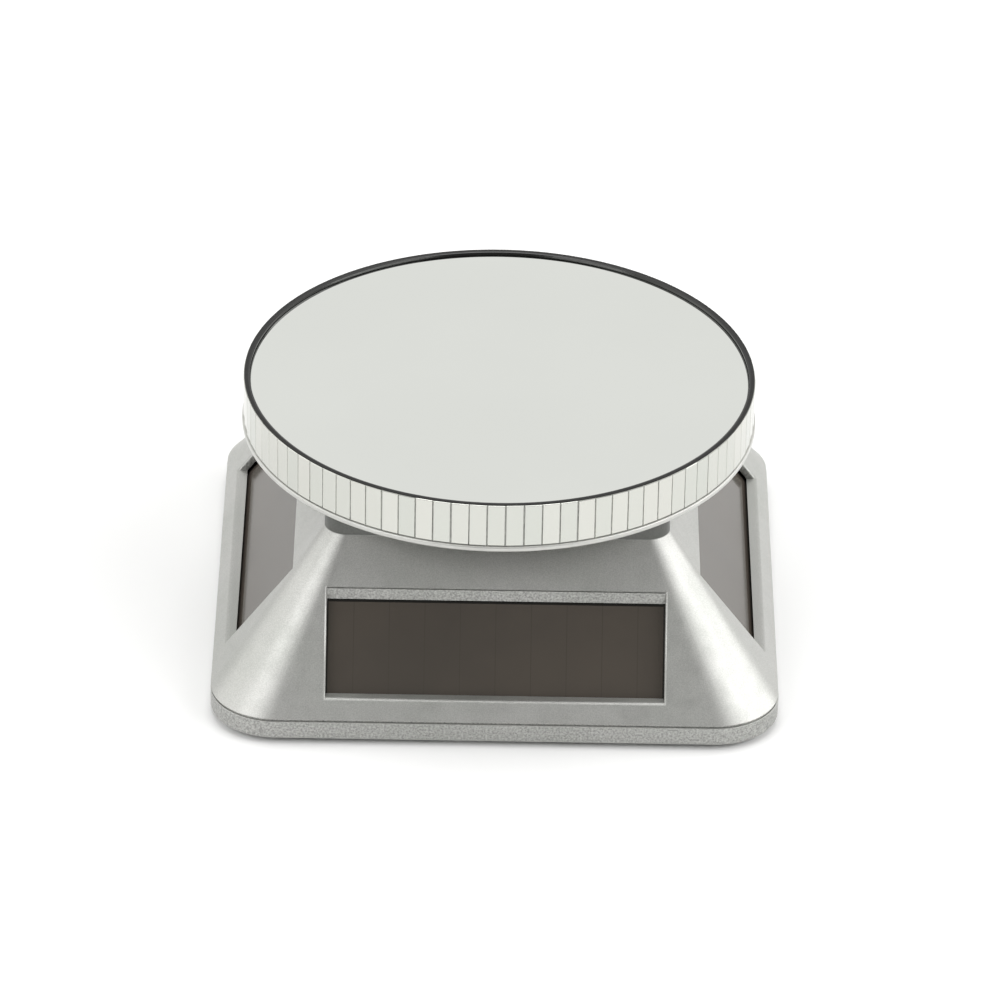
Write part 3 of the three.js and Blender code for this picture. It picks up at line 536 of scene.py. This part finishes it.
def square_ring(bm, half, z, radius):
    """A ring of vertices round a square with rounded corners."""
    steps = 14
    ring = []
    for quarter in range(4):
        turn = Matrix.Rotation(quarter * math.pi / 2, 3, "Z")
        for step in range(steps + 1):
            angle = math.pi / 2 * step / steps
            x = half - radius + radius * math.cos(angle)
            y = half - radius + radius * math.sin(angle)
            ring.append(bm.verts.new(turn @ Vector((x, y, z)) * MM))
    return ring


def square_loft(levels):
    """A closed solid through (half width, z, corner radius) levels."""
    bm = bmesh.new()
    return lofted(bm, [square_ring(bm, *level) for level in levels])


def window_edges():
    """What is cut away to round the edges of the front window's sides and sill."""
    up = Vector((0, math.cos(SLOPE_ANGLE), math.sin(SLOPE_ANGLE)))
    out = Vector((0, -math.sin(SLOPE_ANGLE), math.cos(SLOPE_ANGLE)))
    sill = Vector((0, -slope_half(WINDOW_LOW), WINDOW_LOW))
    length = (WINDOW_HIGH - WINDOW_LOW) / math.sin(SLOPE_ANGLE)
    steepness = math.tan(SLOPE_ANGLE)
    # How far out and how high each ring lies, over WINDOW_ROUND: up an arc, then clear of the slope.
    arc = [math.radians(angle) for angle in (0, 25, 50, 75)]
    levels = [(1 - math.cos(angle), math.sin(angle) - 1) for angle in arc] + [(1.3, 0.1)]
    short = 0.02  # keeps it off the window's top edge
    bm = bmesh.new()
    rings = []
    for spread, height in levels:
        aside, w = spread * WINDOW_ROUND, height * WINDOW_ROUND
        half = WINDOW_HALF + aside
        low, high = -w / steepness - aside, length + w * steepness - short
        corners = ((-half, low), (half, low), (half, high), (-half, high))
        places = [sill + Vector((u, 0, 0)) + up * v + out * w for u, v in corners]
        rings.append([bm.verts.new(place * MM) for place in places])
    return lofted(bm, rings)


def housing():
    """The upper moulding: rim, seam, sloping sides with a window in each, neck and deck."""
    outline = rounded(
        [
            (BASE_HALF - 1, Z_BASE),
            (BASE_HALF, Z_BASE, 0.4),
            (BASE_HALF, SEAM_LOW, 0.1),
            (BASE_HALF - SEAM_DEEP, SEAM_LOW),
            (BASE_HALF - SEAM_DEEP, SEAM_HIGH),
            (slope_half(SEAM_HIGH + 0.1), SEAM_HIGH),
            (slope_half(SEAM_HIGH + 0.1), SEAM_HIGH + 0.1, 0.08),
            (NECK_HALF, Z_SHOULDER, 0.6),
            (NECK_HALF, Z_DECK, 0.5),
            (NECK_HALF - 2, Z_DECK),
        ],
        closed=False,
    )
    outer = square_loft([(half, z, corner_radius(half, z)) for half, z in outline])
    wall_across = WALL / math.sin(SLOPE_ANGLE)
    inner_half = NECK_HALF - THICK_WALL
    inner_low = slope_half(Z_RIM) - wall_across
    inner_shoulder = Z_RIM + (inner_low - inner_half) * SLOPE_H / SLOPE_RUN
    inner = square_loft([
        (BASE_HALF - THICK_WALL, Z_BASE - 1, RIM_CORNER - THICK_WALL),
        (BASE_HALF - THICK_WALL, Z_RIM, RIM_CORNER - THICK_WALL),
        (inner_half, inner_shoulder, NECK_CORNER - THICK_WALL),
        (inner_half, Z_DECK - THICK_WALL, NECK_CORNER - THICK_WALL),
    ])
    shell = combine(outer, inner, "DIFFERENCE")
    back = -slope_half(WINDOW_HIGH)
    eased = WINDOW_HIGH - WINDOW_EASE
    lean = math.tan((math.pi / 2 - SLOPE_ANGLE) / 2) * (Z_SHOULDER - eased)
    groove_low, groove_back = eased - WINDOW_GROOVE, back + WINDOW_GROOVE
    window = [
        (-BASE_HALF, WINDOW_LOW), (back, WINDOW_LOW), (back, groove_low), (groove_back, groove_low),
        (groove_back, eased), (back, eased), (back + lean, Z_SHOULDER), (-BASE_HALF, Z_SHOULDER),
    ]
    for degrees in SIDES.values():
        cutter = along_x(prism([Vector(point) for point in window], (-WINDOW_HALF, WINDOW_HALF)))
        turn = turned(math.radians(degrees))
        for tool in (cutter, window_edges()):
            shell = combine(shell, moved(tool, turn), "DIFFERENCE")
    bush_hole = cylinder(BUSH_HOLE_R, (Z_DECK - 4, Z_DECK + 1), segments=64)
    shell = combine(shell, bush_hole, "DIFFERENCE")
    piece("housing_shell", shell, [SILVER], "base", "upper_housing")


# ---- Solar panels ----
def solar_panel(side, degrees):
    """A glass-covered cell, with its edges arrised, leaning behind its window."""
    node = f"solar_panel_{side}"
    low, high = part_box(node)
    rise = (high.z - low.z) / MM
    length = (rise - PANEL_THICK * math.cos(SLOPE_ANGLE)) / math.sin(SLOPE_ANGLE)
    sizes = (PANEL_W, length, PANEL_THICK)
    slab = block(*((-size / 2, size / 2) for size in sizes))
    soften(slab, list(slab.edges), PANEL_ARRIS, 2)
    for face in slab.faces:
        face.material_index = 0 if face.normal.z > 0.9 else 1
    middle = (low + high) / 2 / MM
    reach = max(abs(middle.x), abs(middle.y))
    window_top = WINDOW_HIGH - WALL / math.cos(SLOPE_ANGLE)
    below = Vector((slope_half(WINDOW_HIGH) - reach, middle.z - window_top))
    middle_above = below.dot(Vector((math.cos(SLOPE_ANGLE), math.sin(SLOPE_ANGLE))))
    # above_window places the cell's painted shadow under the window's top wall
    cells_across = slab.verts.layers.float.new("across")
    above_window = slab.verts.layers.float.new("above_window")
    for vertex in slab.verts:
        vertex[cells_across] = (vertex.co.x / MM / PANEL_W + 0.5) * CELLS
        vertex[above_window] = vertex.co.y / MM + middle_above
    lean = turned(SLOPE_ANGLE, "X")
    moved(slab, shift(*middle) @ turned(math.radians(degrees)) @ lean)
    piece(f"solar_cell_{side}", slab, [CELL, CELL_EDGE], "base", node)


# ---- Platter ----
band_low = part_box("mosaic_band")[0] / MM
tray_low, tray_high = (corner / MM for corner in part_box("platter_tray"))
mirror_low, mirror_high = (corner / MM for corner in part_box("mirror_disc"))
ring_low, ring_high = (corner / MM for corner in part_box("rim_ring"))
PLATTER_R = 45.5  # to the corners between the tiles
TRAY_R = ring_high.x
RING_IN = ring_high.x - 0.65
RING_OUT = ring_high.x + 0.34
Z_TOP = ring_high.z
LIP_H = 1
BEVEL_W = 0.9  # the polished bevel round the mirror
BEVEL_DROP = 0.17
TILES = 90
TILE_TURN = math.radians(1.7)  # the joint nearest the front lies this far round from it
TILE_JOINT_W = 0.2
TILE_CHAMFER = 0.1
TILE_LEAN, TILE_SLIP, TILE_TIP = 0.35, 0.05, 0.3  # the most that a tile is off, in degrees


def tray():
    """The moulded tray: a hub, a skirt with a lip below the tiles, and six ribs."""
    hub_r = 6.5
    wall_in = TRAY_R - 1.7
    skin_low = tray_high.z - 2
    lip_low = band_low.z - LIP_H - 0.1
    outline = rounded([
        (0, tray_low.z), (hub_r, tray_low.z, 0.4), (hub_r, skin_low, 0.6), (wall_in, skin_low, 0.8),
        (wall_in, lip_low, 0.25), (tray_high.x, lip_low, 0.35), (tray_high.x, lip_low + LIP_H, 0.3),
        (TRAY_R, lip_low + LIP_H), (TRAY_R, tray_high.z), (0, tray_high.z),
    ], closed=False)
    body = lathe(outline, 180)
    for degrees in range(15, 360, 60):
        rib = block((hub_r - 1, wall_in + 0.5), (-0.6, 0.6), (lip_low + 1.5, skin_low + 0.5))
        moved(rib, turned(math.radians(degrees)))
        body = combine(body, rib, "UNION")
    piece("platter_body", body, [PLATTER_SILVER], "platter", "platter_tray")


def mirror():
    """The mirror disc, with a polished bevel and a ground edge."""
    radius = mirror_high.x
    outline = rounded([
        (0, mirror_low.z), (radius, mirror_low.z, 0.15), (radius, mirror_high.z - BEVEL_DROP),
        (radius - BEVEL_W, mirror_high.z), (0, mirror_high.z),
    ], closed=False, steps=2)

    def finish_at(a, b):
        """1, the ground glass, on the edge, and 0 on the rest."""
        return 1 if min(a[0], b[0]) > radius - 0.2 else 0

    disc = lathe(outline, 240, tags=finish_at)
    piece("mirror_plate", disc, [MIRROR, GROUND_EDGE], "platter", "mirror_disc")


def ring():
    """The black ring that caps the tiles: a satin top and a glossy inner edge."""
    outline = rounded([
        (RING_IN, ring_low.z), (TRAY_R, ring_low.z), (TRAY_R, Z_TOP - 0.12), (RING_OUT, Z_TOP - 0.12),
        (RING_OUT, Z_TOP, 0.05), (RING_IN + 0.35, Z_TOP, 0.1), (RING_IN, Z_TOP - 0.1, 0.05),
    ], steps=2)

    def finish_at(a, b):
        """1, the gloss, on the inner edge, and 0 on the rest."""
        return 1 if max(a[0], b[0]) < RING_IN + 0.36 else 0

    hoop = lathe(outline, 240, closed=True, tags=finish_at)
    piece("mirror_ring", hoop, [RING_BLACK, RING_GLOSS], "platter", "rim_ring")


def mosaic():
    """The band of mirror tiles: flat chamfered tiles on a grey backing hoop."""
    draws = random.Random(4)
    low, high = band_low.z, Z_TOP - 0.14
    pitch = 2 * math.pi / TILES
    back, front = TRAY_R + 0.18, PLATTER_R
    half = front * math.cos(pitch / 2) * math.tan(pitch / 2) - TILE_JOINT_W / 2
    hoop_in, hoop_out = TRAY_R + 0.02, front - 0.16
    hoop = [(hoop_in, low), (hoop_out, low), (hoop_out, high), (hoop_in, high)]
    backing = lathe(hoop, TILES * 2, closed=True)
    for face in backing.faces:
        face.material_index = 1
    backing.verts.layers.float.new("tile_tint")
    tiles = []
    for index in range(TILES):
        tile = block((-half, half), (-front * math.cos(pitch / 2), -back), (low + 0.05, high))
        front_edges = [e for e in tile.edges if all(v.co.y < -(back + 0.15) * MM for v in e.verts)]
        soften(tile, front_edges, TILE_CHAMFER, 2)
        tint = tile.verts.layers.float.new("tile_tint")
        shade = draws.random()
        for vertex in tile.verts:
            vertex[tint] = shade
        lean = turned(math.radians(draws.uniform(-TILE_LEAN, TILE_LEAN)))
        slip = math.radians(draws.uniform(-TILE_SLIP, TILE_SLIP))
        tip = turned(math.radians(draws.uniform(-TILE_TIP, TILE_TIP)), "X")
        middle = Vector((0, -front, (low + high) / 2)) * MM
        settle = Matrix.Translation(middle) @ lean @ tip @ Matrix.Translation(-middle)
        turn = turned(TILE_TURN + (index + 0.5) * pitch + slip)
        tiles.append(moved(tile, turn @ settle))
    band = merged(backing, *tiles)
    finishes = [TILE_GLASS, TILE_JOINT]
    piece("mosaic_tiles", band, finishes, "platter", "mosaic_band", sharp=20)


# ---- Feet and screws ----
def foot(node):
    """A rubber foot: a flat ring to stand on, round a shallow dimple."""
    low, high = (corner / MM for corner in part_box(node))
    middle = (low + high) / 2
    r = (high.x - low.x) / 2
    outline = rounded([
        (0, 0.12), (1.6, 0.12, 0.1), (1.8, 0, 0.1), (r - 0.9, 0, 0.1), (r - 0.5, 0.15, 0.3),
        (r, 0.7, 0.3), (r, high.z), (0, high.z),
    ], closed=False)
    pad = moved(lathe(outline, 64), shift(middle.x, middle.y, 0))
    piece(f"rubber_{node}", pad, [RUBBER], "base", node)


THREAD_PITCH = 0.8  # the thread is a row of ridges, not a helix
THREAD_DEPTH = 0.2
THREAD_CLEAR = 1.2  # no ridge starts nearer the tip than this
CROSS_TURN = math.pi / 5


def screw(node, body, head_h, shank_r, head_up=False):
    """A pan-head screw with a cross recess, and a shank ridged like a thread."""
    low, high = (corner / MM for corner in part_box(node))
    head_r = (high.x - low.x) / 2
    length = high.z - low.z - head_h
    profile = rounded([
        (0, -head_h), (head_r * 0.75, -head_h, 0.5), (head_r, -head_h * 0.45, 0.3), (head_r, 0, 0.12),
        (shank_r, 0),
    ], closed=False)
    root_r = shank_r - THREAD_DEPTH
    for ridge in range(int((length - THREAD_CLEAR) / THREAD_PITCH)):
        z = 0.3 + ridge * THREAD_PITCH
        profile += [(root_r, z), (root_r, z + 0.25), (shank_r, z + 0.5)]
    profile += [(root_r, length - 0.8), (0, length)]
    bm = lathe(profile, 40)
    arm = head_r * 0.55
    for turn in (0, math.pi / 2):
        bar = block((-arm, arm), (-arm / 5, arm / 5), (-head_h - 1, -head_h * 0.4))
        bm = combine(bm, moved(bar, turned(turn + CROSS_TURN)), "DIFFERENCE")
    middle = (low + high) / 2
    seat = high.z - head_h if head_up else low.z + head_h
    flip = turned(math.pi if head_up else 0, "X")
    moved(bm, shift(middle.x, middle.y, seat) @ flip)
    piece(f"{node}_detail", bm, [STEEL], body, node)


# ---- Base plate, battery door and battery ----
CELL_R = 7.1
CELL_Z = 11
WELL_Y = 28
WELL_R = CELL_R + 0.5
WELL_HALF = 29
WELL_WALL = 1.4
WELL_OUT = WELL_HALF + WELL_WALL
PLATE_TOP = Z_BASE + 2.4
PLATE_CORNER = 9.2
SCREW_AT = 39
FOOT_AT = (38, 27)
SCREW_HOLE_R, SCREW_SEAT_R, FOOT_SEAT_R = 1.6, 3.2, 4.8
BOARD_PEGS = ((-38, -2), (-28, -2))
PEG_TOP = 5.3
TAB_SLOT_Z = (12.6, 13.8)  # the contacts' tabs leave the well here
LABEL_X, LABEL_Y = (-21, 21), (-34, -12)
HINGE_X = -29.6
HINGE_Z = Z_BASE + 0.9
HINGE_END = HINGE_X - 1.3  # the doorway's end, clear of the knuckles
HINGE_ROOM = Z_BASE + 2
DOOR_SEAT = Z_BASE + 1.7
KNUCKLE_AT = 5  # from the door's middle, along the hinge
KNUCKLE_HALF = 1.5
DOOR_HALF = 8.1
DOOR_THICK = 1.6
DOOR_GAP = 0.3
LATCH_HALF = 3
MARK_DEEP = 0.3  # how deep the label's recess and the door's arrow are
GROOVES = 6
GROOVE_PITCH = 1.3
GROOVE_HALF = 5.5


def across(half, y=WELL_Y):
    """Both ends of a stretch of y, this far each way from its middle."""
    return (y - half, y + half)


def vault(radius, x, z_low):
    """A half-round vault over the battery, on upright sides."""
    arc = [math.pi * step / 24 for step in range(25)]
    outline = [(-radius, z_low - CELL_Z), (radius, z_low - CELL_Z)]
    outline += [(radius * math.cos(a), radius * math.sin(a)) for a in arc]
    return moved(along_x(prism(outline, x)), shift(0, WELL_Y, CELL_Z))


def bottom_edges(bm):
    """The edges that lie in the plane of the underside."""
    return [e for e in bm.edges if all(v.co.z < (Z_BASE + 0.01) * MM for v in e.verts)]


def base_plate():
    """The plate underneath: the battery's well, and seats for the screws, the feet and a label."""
    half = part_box("base_plate")[1].x / MM
    corners = [(-half, -half), (half, -half), (half, half), (-half, half)]
    outline = rounded([(x, y, PLATE_CORNER) for x, y in corners], steps=12)
    plate = prism(outline, (Z_BASE, PLATE_TOP))
    soften(plate, bottom_edges(plate), 0.35)
    plate = combine(plate, vault(WELL_R + WELL_WALL, (-WELL_OUT, WELL_OUT), Z_BASE + 0.5), "UNION")
    below = Z_BASE - 1
    (x0, x1), (y0, y1) = LABEL_X, LABEL_Y
    label = [(x0, y0, 2), (x1, y0, 2), (x1, y1, 2), (x0, y1, 2)]
    doorway = across(DOOR_HALF + DOOR_GAP)
    tools = [
        vault(WELL_R, (-WELL_HALF, WELL_HALF), below),
        block((HINGE_END, WELL_HALF - DOOR_GAP), doorway, (below, DOOR_SEAT)),
        block((HINGE_END, 0.5 - WELL_HALF), doorway, (below, HINGE_ROOM)),
        block((WELL_HALF - 1, WELL_OUT + 1), across(LATCH_HALF + 0.4), (PLATE_TOP, PLATE_TOP + 2)),
        block((-WELL_OUT - 1, WELL_OUT + 1), across(2), TAB_SLOT_Z),
        prism(rounded(label, steps=5), (below, Z_BASE + MARK_DEEP)),
    ]
    for sx in (-1, 1):
        for sy in (-1, 1):
            screw_at = (sx * SCREW_AT, sy * SCREW_AT)
            foot_at = (sx * FOOT_AT[0], sy * FOOT_AT[1])
            tools.append(cylinder(SCREW_HOLE_R, (0, Z_RIM), *screw_at))
            tools.append(cylinder(SCREW_SEAT_R, (0, Z_BASE + 1.4), *screw_at, 48))
            tools.append(cylinder(FOOT_SEAT_R, (0, Z_BASE + 0.6), *foot_at, 64))
    for tool in tools:
        plate = combine(plate, tool, "DIFFERENCE")
    for x, y in BOARD_PEGS:
        plate = combine(plate, cylinder(1.5, (PLATE_TOP - 0.5, PEG_TOP), x, y), "UNION")
    piece("bottom_plate", plate, [SATIN_SILVER], "base", "base_plate", sharp=30)


def battery_door():
    """The door: thumb grooves and an arrow by its latch, and two knuckles at its hinge."""
    low = Z_BASE
    door = block((HINGE_X + 1.4, WELL_HALF - 0.6), across(DOOR_HALF), (low, low + DOOR_THICK))
    soften(door, bottom_edges(door), 0.3)
    for y in (WELL_Y - KNUCKLE_AT, WELL_Y + KNUCKLE_AT):
        pin = cylinder(0.8, (-KNUCKLE_HALF, KNUCKLE_HALF))
        moved(pin, turned(math.pi / 2, "X"))
        moved(pin, shift(HINGE_X, y, HINGE_Z))
        web = block((HINGE_X, HINGE_X + 2), across(KNUCKLE_HALF, y), (HINGE_Z - 0.6, HINGE_Z + 0.6))
        for part in (pin, web):
            door = combine(door, part, "UNION")
    tongue_x = WELL_HALF - 0.8
    tongue = block((tongue_x - 0.8, tongue_x), across(LATCH_HALF), (low + 1, PLATE_TOP + 1.8))
    nib = block((tongue_x - 0.4, WELL_HALF + 0.6), across(LATCH_HALF), (PLATE_TOP + 0.2, PLATE_TOP + 0.9))
    for part in (tongue, nib):
        door = combine(door, part, "UNION")
    for groove in range(GROOVES):
        x = WELL_HALF - 3.2 - GROOVE_PITCH * groove
        cut = block((x - 0.35, x + 0.35), across(GROOVE_HALF), (low - 1, low + 0.4))
        door = combine(door, cut, "DIFFERENCE")
    tip = WELL_HALF - 12.6
    arrow = [
        (tip - 5.4, WELL_Y - 2.4), (tip - 2.4, WELL_Y - 2.4), (tip, WELL_Y), (tip - 2.4, WELL_Y + 2.4),
        (tip - 5.4, WELL_Y + 2.4), (tip - 3, WELL_Y),
    ]
    door = combine(door, prism(arrow, (low - 1, low + MARK_DEEP)), "DIFFERENCE")
    piece("door_leaf", door, [SATIN_SILVER], "door", "battery_door", sharp=30)


def battery():
    """An AA cell: a two-tone sleeve between bare steel ends, with a crimp below its nub."""
    low, high = (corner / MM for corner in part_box("aa_cell"))
    length = high.x - low.x
    can = length - 1
    band_at = 34  # where the sleeve's second colour starts
    outline = rounded([
        (0, 0.25), (5.2, 0.25, 0.2), (5.6, 0, 0.2), (6.5, 0, 0.3), (6.9, 0.7, 0.2), (CELL_R, 0.9, 0.1),
        (CELL_R, band_at), (CELL_R, can - 1.2, 0.4), (CELL_R - 0.6, can - 0.5, 0.3),
        (6, can - 0.5, 0.2), (5.6, can - 0.9, 0.2), (3.4, can - 0.9, 0.2), (3.1, can - 0.4, 0.2),
        (2.75, can, 0.1), (2.75, length, 0.35), (0, length),
    ], closed=False)

    def finish_at(a, b):
        """1 on bare steel, and 0 and 2 on the sleeve's two colours."""
        along = (a[1] + b[1]) / 2
        if along < 0.85 or along > can - 0.62 or max(a[0], b[0]) < CELL_R - 0.7:
            return 1
        return 2 if along > band_at else 0

    cell = lathe(outline, 96, tags=finish_at)
    moved(cell, turned(math.pi / 2, "Y"))
    moved(cell, shift(low.x, WELL_Y, CELL_Z))
    piece("aa_battery", cell, [WRAP, STEEL, WRAP_BAND], "base", "aa_cell")


def spring():
    """The conical spring on the negative contact, with closed end turns."""
    low, high = (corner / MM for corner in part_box("contact_spring"))
    wire = 0.35  # its radius
    turns = 4
    wide, taper = 4.4, 1.6
    closed = 0.12  # share of the wire in each closed end turn
    steps = turns * 28
    span = high.x - low.x - 2 * wire
    path = []
    for step in range(steps + 1):
        share = step / steps
        angle = share * turns * 2 * math.pi
        radius = wide - taper * share
        along = low.x + wire + span * min(max((share - closed) / (1 - 2 * closed), 0.0), 1.0)
        path.append(Vector((along, WELL_Y + radius * math.cos(angle), CELL_Z + radius * math.sin(angle))))
    piece("battery_spring", tube(path, wire), [NICKEL], "base", "contact_spring")


housing()
for side, degrees in SIDES.items():
    solar_panel(side, degrees)
tray()
mirror()
ring()
mosaic()
for end in ("front", "rear"):
    for hand in ("left", "right"):
        foot(f"foot_{end}_{hand}")
        screw(f"housing_screw_{end}_{hand}", "base", 1.3, 0.95)
for number in range(1, 5):
    screw(f"gearbox_screw_{number}", "base", 1.2, 0.95)
for number in (1, 2):
    screw(f"motor_screw_{number}", "base", 0.8, 0.7, head_up=True)
screw("platter_screw", "platter", 1.3, 0.85, head_up=True)
base_plate()
battery_door()
battery()
spring()


# ---- Floor, light and camera ----
def floor():
    """A wide white floor."""
    bm = bmesh.new()
    bmesh.ops.create_grid(bm, x_segments=1, y_segments=1, size=6.0)
    mesh = as_mesh(bm, "floor")
    white = mottled(srgb(243, 243, 243), srgb(241, 241, 241), 2)
    mesh.materials.append(material("floor_white", white, 0.85))
    placed("floor", mesh)


def softbox(name, place, aim, width, height, power):
    """A rectangular light, in metres and watts."""
    light = bpy.data.lights.new(name, "AREA")
    light.shape = "RECTANGLE"
    light.size = width
    light.size_y = height
    light.energy = power
    obj = placed(name, light)
    obj.location = place
    obj.rotation_euler = (Vector(aim) - Vector(place)).to_track_quat("-Z", "Y").to_euler()


def studio():
    """A pale room that is brightest behind the object and to its left, and four softboxes."""
    world = bpy.data.worlds.new("studio")
    bpy.context.scene.world = world
    world.use_nodes = True
    nodes = Nodes(world.node_tree)
    direction = nodes.add("ShaderNodeTexCoord").outputs["Generated"]
    parts = nodes.add("ShaderNodeSeparateXYZ")
    nodes.feed(parts.inputs[0], direction)
    rearward, upward = parts.outputs[1], parts.outputs[2]
    room = nodes.ramp(rearward, -0.75, 0.3, 0.31, 0.8)
    low_down = nodes.ramp(upward, 0.0, 0.35, 0.8, 0.0)
    in_front = nodes.ramp(rearward, -0.7, -0.1, 1.0, 0.0)
    dimmed = nodes.math("SUBTRACT", 1.0, nodes.math("MULTIPLY", low_down, in_front))
    high_up = nodes.ramp(upward, 0.58, 0.75, 0.0, 0.5)
    ceiling = nodes.math("MULTIPLY", high_up, nodes.ramp(rearward, 0.1, 0.4))
    toward_left = nodes.add("ShaderNodeVectorMath", operation="DOT_PRODUCT")
    nodes.feed(toward_left.inputs[0], direction)
    nodes.feed(toward_left.inputs[1], (-0.93, -0.05, 0.36))
    left_glow = nodes.ramp(toward_left.outputs["Value"], 0.65, 0.99, 0.0, 0.95)
    level = nodes.math("ADD", nodes.math("MULTIPLY", room, dimmed), ceiling)
    background = nodes.add("ShaderNodeBackground")
    nodes.feed(background.inputs["Color"], (1.0, 1.0, 0.985, 1.0))
    nodes.feed(background.inputs["Strength"], nodes.math("ADD", level, left_glow))
    output = nodes.add("ShaderNodeOutputWorld")
    nodes.feed(output.inputs["Surface"], background.outputs[0])
    middle = (0, 0, 0.02)
    softbox("overhead", (0, 0.25, 1.7), (0, 0, 0), 0.9, 0.9, 7)
    softbox("left", (-0.80, -0.80, 0.85), middle, 0.8, 0.6, 4.3)
    softbox("right", (1.04, -0.50, 0.8), middle, 1.2, 0.6, 8.0)
    softbox("right_side", (1.3, 0.42, 0.5), middle, 1.1, 0.6, 5.2)


def camera():
    """The photograph's viewpoint, from the camera fit."""
    azimuth, elevation, roll = (math.radians(a) for a in (-0.277, 31.073, 1.086))
    distance = 1.2583
    target = Vector((0.000501, 0, 0.020328))
    sensor_width = 36
    zoom = 7.006  # the lens's length over the sensor's width
    level = Vector((math.sin(azimuth), -math.cos(azimuth), 0))
    back = level * math.cos(elevation) + Vector((0, 0, math.sin(elevation)))
    right = Vector((math.cos(azimuth), math.sin(azimuth), 0))
    turn = Matrix((right, back.cross(right), back)).transposed() @ Matrix.Rotation(roll, 3, "Z")
    data = bpy.data.cameras.new("camera")
    data.sensor_width = sensor_width
    data.lens = zoom * sensor_width
    data.clip_end = 20
    obj = placed("camera", data)
    obj.matrix_world = Matrix.Translation(target + back * distance) @ turn.to_4x4()
    bpy.context.scene.camera = obj


floor()
studio()
camera()
bpy.context.scene.view_settings.view_transform = "Standard"
